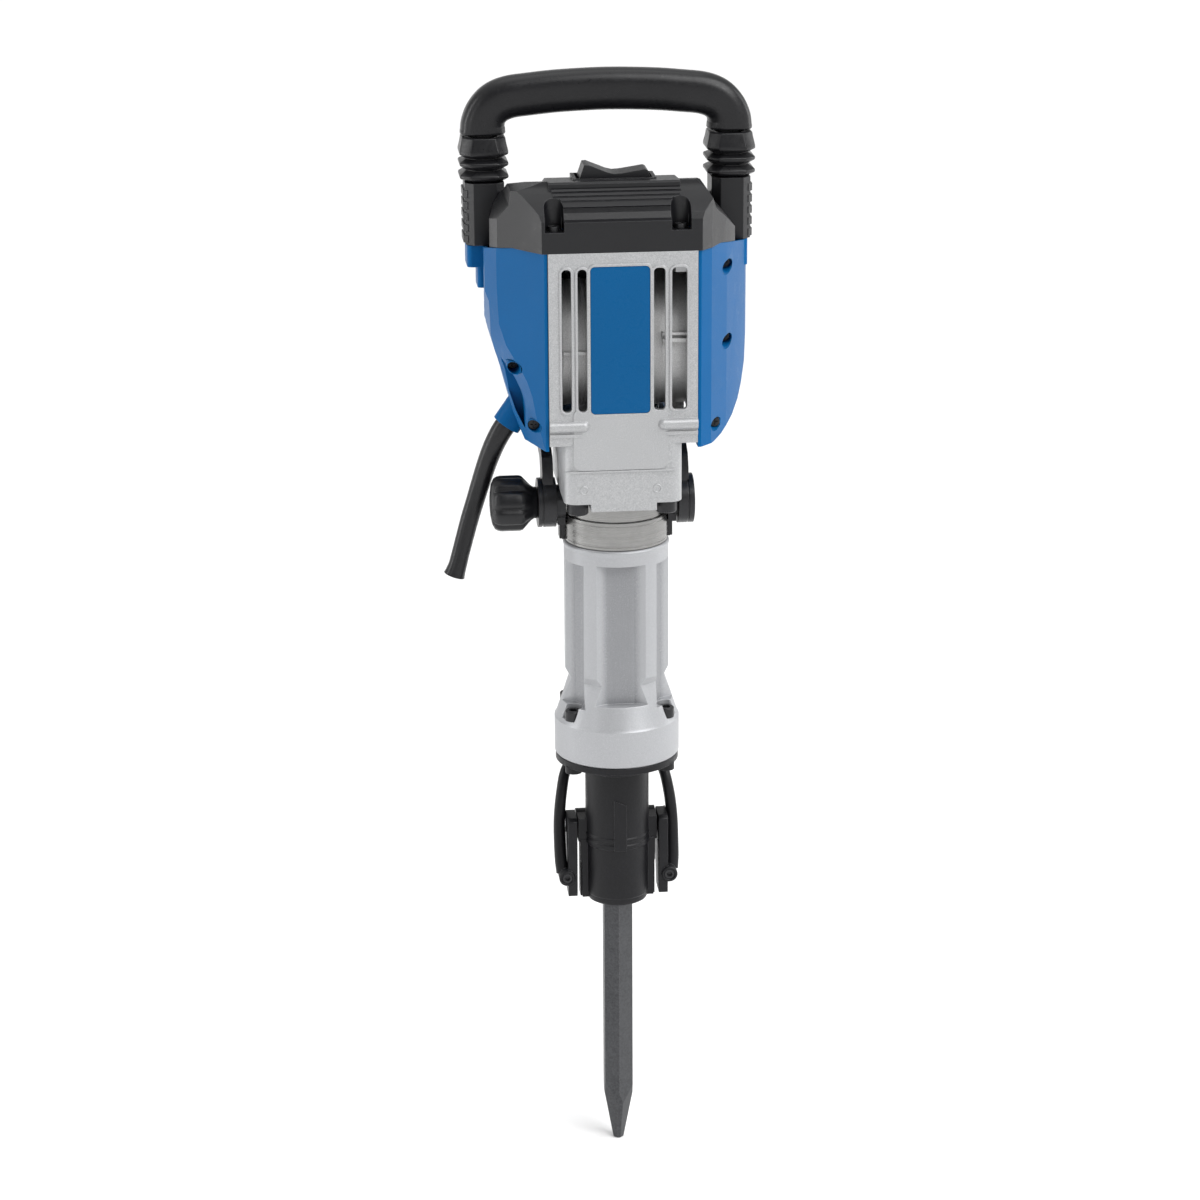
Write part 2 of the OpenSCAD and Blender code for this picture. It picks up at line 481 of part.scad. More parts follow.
// lower scoop, ruled along a line turned 18 degrees from front to back
left_scoop = [[-200,486],[93,486],[95,500],[97,515],[99,536],[101.5,550],[107,567],[111.5,580],[115,600],[115.9,640],[115.9,700],[-200,700]];
left_scoop_in = [[-200,490],[89.4,490],[91.1,500.6],[93,515.5],[95,536.8],[97.8,551.6],[103.3,568.6],[107.7,581.4],[111,600.6],[111.9,640],[111.9,710],[-200,710]];
right_plan = [[house_hw+0.3,-73],[73.8,-73],[85,-61],[104.5,-24],[122,22],[133,55],[137,75],[135,112],[108,142],[60,158],[0,162]];
right_plan_in = [[house_hw+0.3,-69],[72.2,-69],[81.8,-58.4],[100.8,-22.2],[118.2,23.6],[129.1,56],[133,75.4],[131,110.6],[106,138.4],[59.4,154],[0,158]];
right_out = [[-1,486],[88,486],[98,489],[104,493],[113.4,498],[122,508],[128,520],[133,538],[136.7,561],[137,600],[137,700],[-1,700]];
right_out_in = [[-1,490],[87,490],[96.2,492.8],[101.8,496.6],[110.8,501.2],[118.4,510],[124.2,521.4],[129,539],[132.7,562],[133,600],[133,700],[-1,700]];
shell_side = [[-90,480],[-30,480],[-10,492],[60,506],[110,516],[150,556],[170,600],[170,655.7],[110,657.7],[48,659.7],[-40,seam_z-0.3],[-90,seam_z-0.3]];
shell_side_in = [[-90,484],[-31,484],[-11.2,496],[59.2,510],[108.4,520],[146.8,558],[166,601],[166,700],[-90,700]];
// the gear side bulges lower outboard of the auxiliary handle arm
lobe_side = [[-90,480],[40,484],[100,492],[138,516],[158,560],[170,600],[170,655.7],[110,657.7],[48,659.7],[-40,seam_z-0.3],[-90,seam_z-0.3]];
lobe_side_in = [[-90,484],[39.4,488],[98.6,496],[134.6,518.6],[154.2,561.4],[166,601],[166,700],[-90,700]];
crescent = [[-111.5,563.5],[-107,558],[-102,552],[-98,545.5],[-94.6,538.5],[-92,531.5],[-90.4,525],[-89.9,518],[-89.8,511],[-90,498.5],[-93.6,504.5],[-97.6,512.5],[-101,523],[-104.4,534.5],[-107.5,546]];
crescent_wall = [[-116,567],[-100,556],[-91,541],[-86.6,526],[-86.4,500],[-90,492],[-100,508],[-109,534]];
module plan_cut(p, z0) translate([0,0,z0]) linear_extrude(260) polygon(p);
module left_outer() mirror([1,0,0]) intersection() {
  plan_cut(concat(left_plan,[[0,-10],[house_hw+0.3,-10]]), 470);
  xz(-90,170) polygon(left_out);
  rotate(-18.1) xz(-200,200) polygon(left_scoop);
  yz(-1, 140) polygon(shell_side);
}
module shell_openings() {
  bx([-5,-15.7,470],[72.6,40,700]);
  bx([-5,-74,470],[house_hw+0.3,0,700]);
  bx([-5,20,470],[62,52,530]);
}
module left_shell() color([0.06,0.38,0.64]) difference() {
  union() {
    translate([-0.15,0,0]) difference() {
      left_outer();
      mirror([1,0,0]) intersection() {
        plan_cut(concat(left_plan_in,[[-5,158],[-5,-60],[house_hw+0.3,-60]]), 471);
        xz(-90,170) polygon(left_out_in);
        rotate(-18.1) xz(-200,200) polygon(left_scoop_in);
        yz(-10, 140) polygon(shell_side_in);
      }
      mirror([1,0,0]) shell_openings();
    }
    // wall of the crescent pocket
    intersection() { translate([-0.15,0,0]) left_outer(); xz(-80,2) polygon(crescent_wall); }
    // gland socket
    translate([-90,14,512.4]) rotate([0,35,0]) zc(14.2, -26, 6);
    // stepped tail below the handle post
    translate([0,0,638.5]) linear_extrude(21.2) translate([-127,73]) rrect(21, 40, 5);
    translate([0,0,617.5]) linear_extrude(42) translate([-120.6,73]) rrect(14, 34, 4);
  }
  xz(-90,-1) polygon(crescent);
  translate([-90,14,512.4]) rotate([0,35,0]) zc(10.2, -40, 20);
  yc(7, -90, -14, -100.5, 559.5);
  yc(6.4, -90, -48, -83.5, 507.5);
  yc(2.55, -60, 10, -100.5, 559.5);
  yc(2.55, -60, 10, -83.5, 507.5);
  for (i=[0:5]) bx([-140, 96, 572+i*10],[-100, 126, 577+i*10]);
}
module right_shell() color([0.06,0.38,0.64]) difference() {
  union() {
    translate([0.15,0,0]) difference() {
      intersection() {
        plan_cut(concat(right_plan,[[0,-10],[house_hw+0.3,-10]]), 470);
        xz(-90,170) polygon(right_out);
        yz(-1, 140) polygon(lobe_side);
      }
      intersection() {
        plan_cut(concat(right_plan_in,[[-5,158],[-5,-60],[house_hw+0.3,-60]]), 471);
        xz(-90,170) polygon(right_out_in);
        union() { yz(-10, 140) polygon(shell_side_in); yz(83.5, 140) polygon(lobe_side_in); }
      }
      shell_openings();
      yz(-5, 79.4) polygon([[-31,470],[-10,492],[60,506],[110,516],[150,556],[170,600],[190,600],[190,470]]);
    }
    translate([0,0,634]) linear_extrude(25.7) translate([125.5,73]) rrect(21, 40, 5);
  }
  yc(7, -90, 4, 105.6, 648.5); yc(7, -90, 4, 105.6, 576);
  yc(6.4, -90, -38, 91, 502);
  yc(2.55, -60, 24, 105.6, 648.5); yc(2.55, -60, 24, 105.6, 576);
  yc(2.55, -60, 10, 91, 502);
  for (i=[0:7]) bx([100, 92, 556+i*10],[145, 126, 561+i*10]);
}
module pan_screw(x, y, z, l) translate([x,y,z]) rotate([-90,0,0]) difference() {
  union() { cylinder(r=5.2, h=2.6); cylinder(r=2.5, h=l); }
  for (a=[0,90]) rotate(a) translate([-3,-0.6,-1]) cube([6,1.2,2.4]);
}
module shell_screws() color([0.10,0.10,0.11]) {
  pan_screw(-100.5, -16.8, 559.5, 14); pan_screw(-83.5, -50.8, 507.5, 14);
  pan_screw(105.6, 1.2, 648.5, 12); pan_screw(105.6, 1.2, 576, 12); pan_screw(91, -40.8, 502, 16);
}

// ---------------- top cap ----------------
cap_left = [[house_hw+1,-house_front],[76,-74.6],[87,-61],[114,-24],[119,8],[112,42],[99.5,46],[99.5,99],[99,140],[60,158],[0,162]];
cap_right = [[house_hw+1,-house_front],[74.6,-74.8],[85.4,-62],[104.6,-25],[117,10],[111,42],[99.5,46],[99.5,99],[99,140],[60,158],[0,162]];
cap_left_in = [[house_hw-2,-house_front+4],[73.8,-70.8],[83.8,-58.6],[110.2,-22.4],[115,8.4],[108.4,39.4],[95.4,43.4],[95.4,101],[95,137],[59,154],[0,158]];
cap_right_in = [[house_hw-2,-house_front+4],[72.4,-70.8],[82,-59.6],[101,-23.4],[113,11],[107.4,39.4],[95.4,43.4],[95.4,101],[95,137],[59,154],[0,158]];
function cap_out(r, l) = concat(r, [for (i=[len(l)-1:-1:0]) [-l[i][0], l[i][1]]]);
cap_front_l = [[125,650],[125,688],[115.5,699],[103.6,716],[102.4,730],[86,733],[70,735.6],[0,736]];
cap_front_r = [[125,650],[125,668],[117,681],[104,697],[90.5,711],[86.4,722],[81,730.5],[74,735],[0,736]];
cap_front_l_in = [[121,640],[121,686.6],[112.2,697],[99.8,714],[98.6,725.6],[84,728.6],[0,730.6]];
cap_front_r_in = [[121,640],[121,666.4],[113.6,678.6],[100.8,694],[86.8,708.6],[82.6,719.8],[78,726.6],[72,730],[0,730.6]];
cap_side = [[-80,698],[-75,699],[-74.6,706],[-71.5,712.5],[-66,718],[-60,722.8],[-52,728.6],[-46,731.6],[-40,733.6],[-28,735.5],[-12,733],[90,699.5],[140,683],[165,672],[165,656],[110,658],[48,660],[-40,seam_z],[-80,seam_z]];
cap_side_in = [[-64,670],[-64,700],[-60,712],[-54,720],[-46,725.6],[-28,730],[-14,728],[88,694.4],[137,678.6],[160,668],[160,660],[110,650],[-40,650],[-64,650]];
module cap_body() difference() {
  union() {
    intersection() {
      translate([0,0,640]) linear_extrude(110) polygon([for (p=cap_out(cap_right, cap_left)) p]);
      xz(-90,170) polygon(concat([[0,650]], cap_front_r, [for (i=[len(cap_front_l)-1:-1:0]) [-cap_front_l[i][0], cap_front_l[i][1]]]));
      yz(-130,130) polygon(cap_side);
    }
    // switch deck, falling away to the rear
    yz(-67,57) polygon([[-47,722],[-47,736],[-45,737.7],[-2,734.4],[28,725],[28,712]]);
    // switch frame
    bx([-42.4,-31.4,728],[36.4,2.4,737.9]);
    // ribs across the sloping face
    for (i=[0:2]) translate([0,-49.4-4.7*i,729.6-3.35*i]) rotate([35.5,0,0]) bx([-64.5+1.2*i,-1.35,-2.2],[57-1.2*i,1.35,1.9]);
  }
  difference() {
    intersection() {
      translate([0,0,600]) linear_extrude(160) polygon(cap_out(cap_right_in, cap_left_in));
      xz(-90,170) polygon(concat([[0,640]], cap_front_r_in, [for (i=[len(cap_front_l_in)-1:-1:0]) [-cap_front_l_in[i][0], cap_front_l_in[i][1]]]));
      yz(-130,130) polygon(cap_side_in);
    }
    // screw bosses inside
    for (x=[-64,55]) zc(8, 660, 720, x, -62);
  }
  // wide groove below the ribs
  yz(-57,49) polygon([[-85,705.2],[-74.2,705.2],[-69,706.8],[-65.4,712.4],[-64,716.6],[-70,722],[-85,722]]);
  // switch well
  bx([-39,-29,700],[33,1,750]);
  bx([-34,-25,690],[28,-3,740]);
  // screw pockets
  for (x=[-64,55]) { zc(9.2, 696, 760, x, -66); bx([x-9.2,-90,696],[x+9.2,-66,760]); zc(3.1, 660, 700, x, -64); }
  // vents
  for (i=[0:2]) xc(2.8, 82, 130, -20+9*i, 706-3*i);
}
module top_cap() color([0.09,0.09,0.10]) cap_body();
module cap_screws() color([0.30,0.30,0.32]) for (x=[-64,55]) translate([x,-64,0]) difference() {
  union() { zc(3, 672, 697); zc(5.6, 696, 700.6); }
  translate([0,0,698]) cylinder(r=2.9, h=4, $fn=6);
}
module switch_box() color([0.14,0.14,0.15]) difference() {
  union() { bx([-33.8,-24.8,704],[27.8,-3.2,723.6]); for (x=[-22,-3,16]) bx([x-1,-16,694],[x+1,-12,705]); }
  bx([-31.6,-22.8,708],[25.6,-5.2,740]);
}
module rocker_switch() color([0.08,0.08,0.09]) translate([0,0,-4.5]) difference() {
  union() {
    xz(-27.6, -0.4) polygon([[-37.4,737.2],[-35.8,742.2],[-31.5,754.6],[-27.6,754.8],[-9,747.2],[-3,745.8],[4,746.2],[26.4,749.6],[28.8,748.6],[31.4,741.4],[31.4,739.6],[12,733.6],[4,731],[-10,731],[-20,733]]);
    yc(5, -22, -6, -3, 733);
  }
  for (x=[-30,26]) bx([x-0.5,-30,x<0?756:750],[x+0.5,3,758]);
}

// ---------------- handle ----------------
core_z = grip_z-5;
// half of the grip centre line from the sleeve end to the middle of the bar
grip_half = [[leg_x,765],[leg_x,768.5],[leg_x-0.5,776],[leg_x-4.5,786],[leg_x-13,794.5],[leg_x-26,799.6],[leg_x-45,802],[leg_x-75,804.6],[0,grip_z]];
function m3(p, s) = [s*p[0], leg_y, p[1]];
grip_path = concat([for (p=grip_half) m3(p,1)], [for (i=[len(grip_half)-2:-1:0]) m3(grip_half[i],-1)]);
core_half = [[leg_x,758],[leg_x,core_z-34],[leg_x-4.6,core_z-17],[leg_x-17,core_z-4.6],[leg_x-34,core_z],[leg_x-60,core_z],[leg_x-90,core_z],[leg_x-105,core_z],[0,core_z]];
core_path = concat([for (p=core_half) m3(p,1)], [for (i=[len(core_half)-2:-1:0]) m3(core_half[i],-1)]);
module handle_core() color([0.22,0.22,0.23]) {
  for (s=[-1,1]) { zc(leg_r, 705, 764.4, s*leg_x, leg_y); zc(14.4, 700, 706, s*leg_x, leg_y); zc(9, 678, 701, s*leg_x, leg_y); }
  let (c=path(core_path,3), n=len(c)) skin(rings(c, [0,1,0], [for (i=[0:n-1]) 10.8], [for (i=[0:n-1]) 10.8], 16));
}
module handle_grip() color([0.08,0.08,0.09]) let (c=path(grip_path,3), n=len(c), ci=path(concat([[leg_x,leg_y,765],[leg_x-0.2,leg_y,774]], [for (i=[2:len(core_path)-3]) core_path[i]], [[-leg_x+0.2,leg_y,774],[-leg_x,leg_y,765]]),3)) {
  r = rings(c, [0,1,0], [for (i=[0:n-1]) 18], [for (i=[0:n-1]) let (t=abs(2*i/(n-1)-1)) t>0.9 ? 22.2 : t>0.62 ? 22.2-(0.9-t)/0.28*2 : 20.2], 20, 0.72);
  q = rings(ci, [0,1,0], [for (i=[0:n-1]) 12.3], [for (i=[0:n-1]) 12.3], 20);
  skin(concat(r, [for (i=[n-1:-1:0]) q[i]]), loop=true);
}
// octagonal convoluted boot round the handle leg
function oct(w, d, c, x, y, z) = [[x-w/2+c,y-d/2,z],[x+w/2-c,y-d/2,z],[x+w/2,y-d/2+c,z],[x+w/2,y+d/2-c,z],[x+w/2-c,y+d/2,z],[x-w/2+c,y+d/2,z],[x-w/2,y+d/2-c,z],[x-w/2,y-d/2+c,z]];
bel = [[764.2,42,46],[757,44,48],[750,47,52],[747.6,47,52],[743,34,40],[739.4,47,52],[736.8,47,52],[731.8,34,40],[727.2,47,52],[724.6,47,52],[720.6,36,42]];
module bellows(s) skin(concat(
  [for (b=bel) oct(b[1], b[2], 10, s*leg_x, leg_y, b[0])],
  [for (i=[len(bel)-1:-1:0]) oct(min(bel[i][1],34)-6, min(bel[i][2],40)-6, 8, s*leg_x, leg_y, bel[i][0])]), loop=true);
module bellows_left() color([0.08,0.08,0.09]) bellows(-1);
module bellows_right() color([0.08,0.08,0.09]) bellows(1);
module post(s) difference() {
  union() {
    translate([0,0,660.2]) linear_extrude(720.4-660.2) translate([s*leg_x,leg_y]) polygon([[-19,-16],[-11,-24],[11,-24],[19,-16],[19,16],[11,24],[-11,24],[-19,16]]);
    // stacked ribs on the outer side
    for (i=[0:4]) translate([0,0,662+11*i]) linear_extrude(7.4) scale([s,1]) translate([leg_x,leg_y]) polygon([[-10,-19],[17,-19],[21,-14],[21,14],[17,19],[-10,19]]);
  }
  zc(15, 663.4, 713.4, s*leg_x, leg_y);
  zc(11.05, 700, 730, s*leg_x, leg_y);
}
module handle_post_left() color([0.09,0.09,0.10]) post(-1);
module handle_post_right() color([0.09,0.09,0.10]) post(1);
module coil(r, w, z0, z1, n) {
  k = 12*n;
  skin([for (i=[0:k]) let (a=i*30, z=z0+w+(z1-z0-2*w)*i/k, p=[r*cos(a), r*sin(a), z])
    [for (j=[0:5]) let (q=j*60) p+[cos(a)*w*cos(q), sin(a)*w*cos(q), w*sin(q)]]]);
}
module handle_springs() color([0.6,0.6,0.6]) for (s=[-1,1]) translate([s*leg_x,leg_y,0]) coil(12.4, 1.2, 663.6, 699.8, 5);

// ---------------- auxiliary handle ----------------
module handle_clamp() color([0.08,0.08,0.09]) difference() {
  union() {
    difference() { zc(53.2, 378.4, 405); zc(collar_r+0.05, 370, 410); bx([-60,-60,370],[60,-3,410]); }
    for (s=[-1,1]) {
      bx([s<0?-55.4:50.3,-1,378.4],[s<0?-50.3:55.4,14,405]);
      xc(16.8, s<0?-59:50.2, s<0?-50.2:59, 0, aux_z);
      bx([s<0?-58:50.3,-10,395],[s<0?-50.3:58,12,aux_z]);
    }
  }
  bx([-60,-30,404],[-50,-16,450]);
  zc(collar_r+0.05, 370, 406.6);
  xc(4.1, -70, 70, 0, aux_z);
}
module clamp_bolt() color([0.5,0.5,0.52]) {
  difference() { union() { xc(4, -100, -49, 0, aux_z); xc(4, 49, 72, 0, aux_z); xc(7.2, 70.2, 74.4, 0, aux_z); }
   translate([72,0,aux_z]) rotate([0,90,0]) cylinder(r=3.4, h=6, $fn=6); }
}
arm_yz = [[-9,aux_z],[-9,448],[-4,462],[8,472],[150,507],[154,491],[20,456],[9,446],[9,aux_z]];
module aux_frame() color([0.09,0.09,0.10]) {
  for (s=[-1,1]) difference() {
    union() {
      xc(24.2, s<0?-77:59.4, s<0?-59.4:75, 0, aux_z);
      yz(s<0?-72.6:60, s<0?-62:70) polygon([[-14,aux_z],[-12,448],[-6,462],[8,470],[176,512],[180,496],[22,456],[14,446],[14,aux_z]]);
    }
    xc(4.15, s<0?-90:50, s<0?-50:90, 0, aux_z);
    xc(7.6, 69.8, 90, 0, aux_z);
    difference() { xc(25, s<0?-73:68.6, s<0?-71.6:70, 0, aux_z); xc(23.2, s<0?-80:50, s<0?-50:80, 0, aux_z);}
  }
  xc(9, -72.6, 70, 178, 504);
}
module aux_grip() color([0.08,0.08,0.09]) difference() {
  rotate([0,0,0]) translate([0,178,504]) rotate([0,90,0]) rotate_extrude() polygon([[9.02,-58],[17,-58],[19,-55],[19,-50],[16,-46],[16.6,0],[16,44],[19,48],[19,53],[17,56],[9.02,56]]);
}
module clamp_knob() color([0.08,0.08,0.09]) difference() {
  union() {
    translate([0,0,aux_z]) rotate([0,-90,0]) rotate_extrude() polygon([[4.05,77.4],[15.5,77.4],[15.5,80.5],[20,86],[26.6,92],[27.2,95],[27.2,113.6],[25.4,118.8],[19.6,122.4],[0,123.4],[0,101],[4.05,101]]);
  }
  for (a=[0:45:315]) translate([0,32.4*cos(a),aux_z+32.4*sin(a)]) xc(8.2, -130, -88);
}

// ---------------- cord entry ----------------
module cord_gland() color([0.10,0.10,0.11]) translate([-90,14,512.4]) rotate([0,35,0]) difference() {
  union() { zc(10.1, -25, 8); }
  zc(5.2, -40, 20);
}
// flexible cord guard: straight out of the gland, curving down under its own weight
gd = [[-105.5,14,491.1],[-107.8,14.2,487.8],[-112.3,15.2,480],[-118,17.6,467.5],[-124,21.4,450.5],[-129.5,25.4,432],[-135,27,413.5],[-140.8,26.6,395.2],[-146,25.5,377],[-150.9,24,359.5],[-153.9,23,348.6],[-156.1,23,342],[-157.7,23,337.4]];
gr = [10.5,10.5,10.4,10.1,9.7,9.4,9.1,9.0,8.9,8.8,9.0,9.7,10.6];
module cord_guard() color([0.09,0.09,0.10]) {
  n = len(gd);
  d = [for (i=[0:n-1]) let (v=gd[min(n-1,i+1)]-gd[max(0,i-1)]) v/norm(v)];
  difference() {
    skin([for (i=[0:n-1]) let (u=cross(d[i],[0,1,0]), uu=u/norm(u), v=cross(d[i],uu))
      [for (k=[0:15]) gd[i]+uu*gr[i]*cos(k*22.5)+v*gr[i]*sin(k*22.5)]]);
    translate(gd[12]) rotate([0,atan2(d[12][0],d[12][2]),0]) translate([0,0,-26]) cylinder(r=5, h=40);
  }
}

front_housing();
badge_plate();
top_cap();
left_shell();
right_shell();
shell_screws();
cap_screws();
handle_post_left();
handle_post_right();
switch_box();
crankcase();
crankcase_cover();
gear_plate();
gear_cover();
cylinder_liner();
steel_collar();
barrel();
flange_bolts();
housing_bolts();
nose_gasket();
front_cover();
anvil_guide();
damper_ring();
stator_core();
field_coils();
motor_bracket();
brush_holders();
carbon_brush_front();
carbon_brush_rear();
ball_bearings();
cord_gland();
cord_guard();
handle_clamp();
clamp_bolt();
handle_core();
handle_grip();
bellows_left();
bellows_right();
handle_springs();
rocker_switch();
aux_frame();
aux_grip();
clamp_knob();
armature_shaft();
armature_core();
commutator();
cooling_fan();
layshaft();
layshaft_gear();
crankshaft();
crank_gear();
piston();
wrist_pin();
connecting_rod();
striker();
impact_bolt();
chisel();
retainer_shaft();
retainer_lever();
retainer_screws();
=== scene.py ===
import bpy, bmesh, math, json, random
import numpy as np
from mathutils import Vector, Matrix, noise

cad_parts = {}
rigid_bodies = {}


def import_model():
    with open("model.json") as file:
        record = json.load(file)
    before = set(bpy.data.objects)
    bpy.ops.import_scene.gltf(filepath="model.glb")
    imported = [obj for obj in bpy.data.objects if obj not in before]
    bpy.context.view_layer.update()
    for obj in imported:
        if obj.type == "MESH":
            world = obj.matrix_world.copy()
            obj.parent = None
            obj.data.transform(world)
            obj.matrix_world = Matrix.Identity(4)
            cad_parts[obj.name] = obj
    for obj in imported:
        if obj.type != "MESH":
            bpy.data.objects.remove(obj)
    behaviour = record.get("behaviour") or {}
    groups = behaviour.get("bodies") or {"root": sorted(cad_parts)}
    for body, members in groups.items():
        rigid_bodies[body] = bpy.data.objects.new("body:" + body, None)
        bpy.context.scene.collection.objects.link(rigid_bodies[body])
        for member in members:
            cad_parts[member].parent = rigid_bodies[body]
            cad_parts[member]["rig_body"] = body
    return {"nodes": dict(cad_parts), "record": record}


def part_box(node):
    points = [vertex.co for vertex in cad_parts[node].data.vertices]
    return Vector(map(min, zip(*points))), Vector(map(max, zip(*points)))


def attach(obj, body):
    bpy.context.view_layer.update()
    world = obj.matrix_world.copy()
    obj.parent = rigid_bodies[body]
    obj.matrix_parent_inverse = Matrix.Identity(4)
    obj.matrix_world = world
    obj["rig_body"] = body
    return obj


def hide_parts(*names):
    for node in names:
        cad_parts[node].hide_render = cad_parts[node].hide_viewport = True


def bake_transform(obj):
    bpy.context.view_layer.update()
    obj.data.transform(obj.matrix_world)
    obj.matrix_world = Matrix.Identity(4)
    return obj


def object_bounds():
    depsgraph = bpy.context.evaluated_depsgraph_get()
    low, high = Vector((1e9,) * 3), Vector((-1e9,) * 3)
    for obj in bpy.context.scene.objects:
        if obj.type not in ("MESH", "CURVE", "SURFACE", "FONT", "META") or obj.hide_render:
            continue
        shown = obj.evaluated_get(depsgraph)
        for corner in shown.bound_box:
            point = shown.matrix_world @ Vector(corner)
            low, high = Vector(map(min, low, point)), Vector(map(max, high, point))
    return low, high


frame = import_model()
CAD_BOX = [list(map(float, v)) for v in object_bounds()]
N = frame["nodes"]
MM = 0.001
rnd = random.Random(7)

# ------------------------------------------------------------------ camera
def make_camera():
    f_px, dist, el, az, roll = 3400.0, 3.344, math.radians(17.6), math.radians(-5.8), math.radians(0.32)
    T = Vector((-0.016, 0, 0.3137))
    F = Vector((-math.sin(az) * math.cos(el), math.cos(az) * math.cos(el), -math.sin(el)))
    R = Vector((math.cos(az), math.sin(az), 0))
    U = R.cross(F)
    R2 = R * math.cos(roll) - U * math.sin(roll)
    U2 = U * math.cos(roll) + R * math.sin(roll)
    M = Matrix((R2, U2, -F)).transposed().to_4x4()
    M.translation = T - F * dist
    cd = bpy.data.cameras.new("camera")
    cd.sensor_width = 36.0
    cd.sensor_fit = 'HORIZONTAL'
    cd.lens = 36.0 * f_px / 1200.0
    cd.clip_start, cd.clip_end = 0.05, 60
    cam = bpy.data.objects.new("camera", cd)
    bpy.context.scene.collection.objects.link(cam)
    cam.matrix_world = M
    bpy.context.scene.camera = cam
make_camera()

# ------------------------------------------------------------------ node helpers
class NT:
    def __init__(self, name):
        self.m = bpy.data.materials.new(name)
        self.m.use_nodes = True
        self.t = self.m.node_tree
        self.t.nodes.clear()
        self.out = self.t.nodes.new("ShaderNodeOutputMaterial")
        self.b = self.t.nodes.new("ShaderNodeBsdfPrincipled")
        self.t.links.new(self.b.outputs[0], self.out.inputs[0])
        self.geo = self.t.nodes.new("ShaderNodeNewGeometry")
        self.co = self.t.nodes.new("ShaderNodeTexCoord").outputs["Object"]
        self.nrm = None
    def n(self, kind, **kw):
        x = self.t.nodes.new(kind)
        for k, v in kw.items():
            setattr(x, k, v)
        return x
    def link(self, a, b):
        self.t.links.new(a, b)
    def mapping(self, scale=(1, 1, 1), src=None):
        x = self.n("ShaderNodeMapping")
        x.inputs["Scale"].default_value = scale
        self.link(src or self.co, x.inputs["Vector"])
        return x.outputs[0]
    def noise(self, scale, detail=4, rough=0.55, dist=0.0, vec=None):
        x = self.n("ShaderNodeTexNoise")
        x.inputs["Scale"].default_value = scale
        x.inputs["Detail"].default_value = detail
        x.inputs["Roughness"].default_value = rough
        x.inputs["Distortion"].default_value = dist
        self.link(vec or self.co, x.inputs["Vector"])
        return x.outputs["Fac"]
    def voro(self, scale, feature='F1', vec=None):
        x = self.n("ShaderNodeTexVoronoi", feature=feature)
        x.inputs["Scale"].default_value = scale
        self.link(vec or self.co, x.inputs["Vector"])
        return x.outputs["Distance"]
    def rng(self, v, a, b, c, d, smooth=False):
        x = self.n("ShaderNodeMapRange")
        if smooth: x.interpolation_type = 'SMOOTHSTEP'
        x.inputs["From Min"].default_value = a; x.inputs["From Max"].default_value = b
        x.inputs["To Min"].default_value = c; x.inputs["To Max"].default_value = d
        self.link(v, x.inputs["Value"])
        return x.outputs[0]
    def math(self, op, a, b=None):
        x = self.n("ShaderNodeMath", operation=op)
        for i, v in enumerate((a, b)):
            if v is None: continue
            if isinstance(v, (int, float)): x.inputs[i].default_value = v
            else: self.link(v, x.inputs[i])
        return x.outputs[0]
    def mix(self, f, a, b):
        x = self.n("ShaderNodeMix", data_type='RGBA')
        if isinstance(f, (int, float)): x.inputs[0].default_value = f
        else: self.link(f, x.inputs[0])
        for i, v in ((6, a), (7, b)):
            if isinstance(v, (tuple, list)): x.inputs[i].default_value = (*v[:3], 1)
            else: self.link(v, x.inputs[i])
        return x.outputs[2]
    def bump(self, h, strength, dist_mm):
        x = self.n("ShaderNodeBump")
        x.inputs["Strength"].default_value = strength
        x.inputs["Distance"].default_value = dist_mm * MM
        self.link(h, x.inputs["Height"])
        if self.nrm is not None: self.link(self.nrm, x.inputs["Normal"])
        self.nrm = x.outputs[0]
    def edge(self, radius_mm=0.8, samples=6):
        """0..1 mask of the edges from the geometry's own curvature, used both for worn edges and for painted edge
        highlights
        """
        x = self.n("ShaderNodeBevel"); x.samples = samples
        x.inputs["Radius"].default_value = radius_mm * MM
        if self.nrm is None: self.nrm = x.outputs[0]
        d = self.n("ShaderNodeVectorMath", operation='DOT_PRODUCT')
        self.link(x.outputs[0], d.inputs[0]); self.link(self.geo.outputs["Normal"], d.inputs[1])
        return self.rng(d.outputs["Value"], 0.98, 0.80, 0, 1)
    def done(self, color=None, rough=None, metal=0.0, spec=0.5, **kw):
        b = self.b
        if isinstance(color, (tuple, list)): b.inputs["Base Color"].default_value = (*color[:3], 1)
        elif color is not None: self.link(color, b.inputs["Base Color"])
        if isinstance(rough, (int, float)): b.inputs["Roughness"].default_value = rough
        elif rough is not None: self.link(rough, b.inputs["Roughness"])
        b.inputs["Metallic"].default_value = metal
        b.inputs["Specular IOR Level"].default_value = spec
        for k, v in kw.items():
            b.inputs[k.replace("_", " ")].default_value = v
        if self.nrm is not None: self.link(self.nrm, b.inputs["Normal"])
        return self.m

def mat_cast(name, base, dark, grain=1.0, rough=(0.38, 0.5), metal=0.6):
    t = NT(name)
    sp = t.noise(1500 * grain, 3, 0.7)
    sp2 = t.noise(620 * grain, 4, 0.65)
    big = t.noise(26, 4, 0.55)
    f = t.rng(sp, 0.40, 0.62, 0, 1)
    c1 = t.mix(f, dark, base)
    c2 = t.mix(t.rng(sp2, 0.56, 0.70, 0, 0.45), c1, tuple(min(1, v * 1.22) for v in base))
    c3 = t.mix(t.rng(big, 0.35, 0.7, 0.0, 0.16), c2, tuple(v * 0.72 for v in base))
    # edges painted lighter: partly worn edges, partly a painted highlight along them
    e = t.edge(0.9)
    c4 = t.mix(t.math('MULTIPLY', e, 0.35), c3, tuple(min(1, v * 1.25) for v in base))
    t.bump(sp2, 0.35, 0.14)
    t.bump(sp, 0.25, 0.06)
    r = t.rng(sp, 0.3, 0.7, rough[0], rough[1])
    return t.done(c4, r, metal, 0.5)

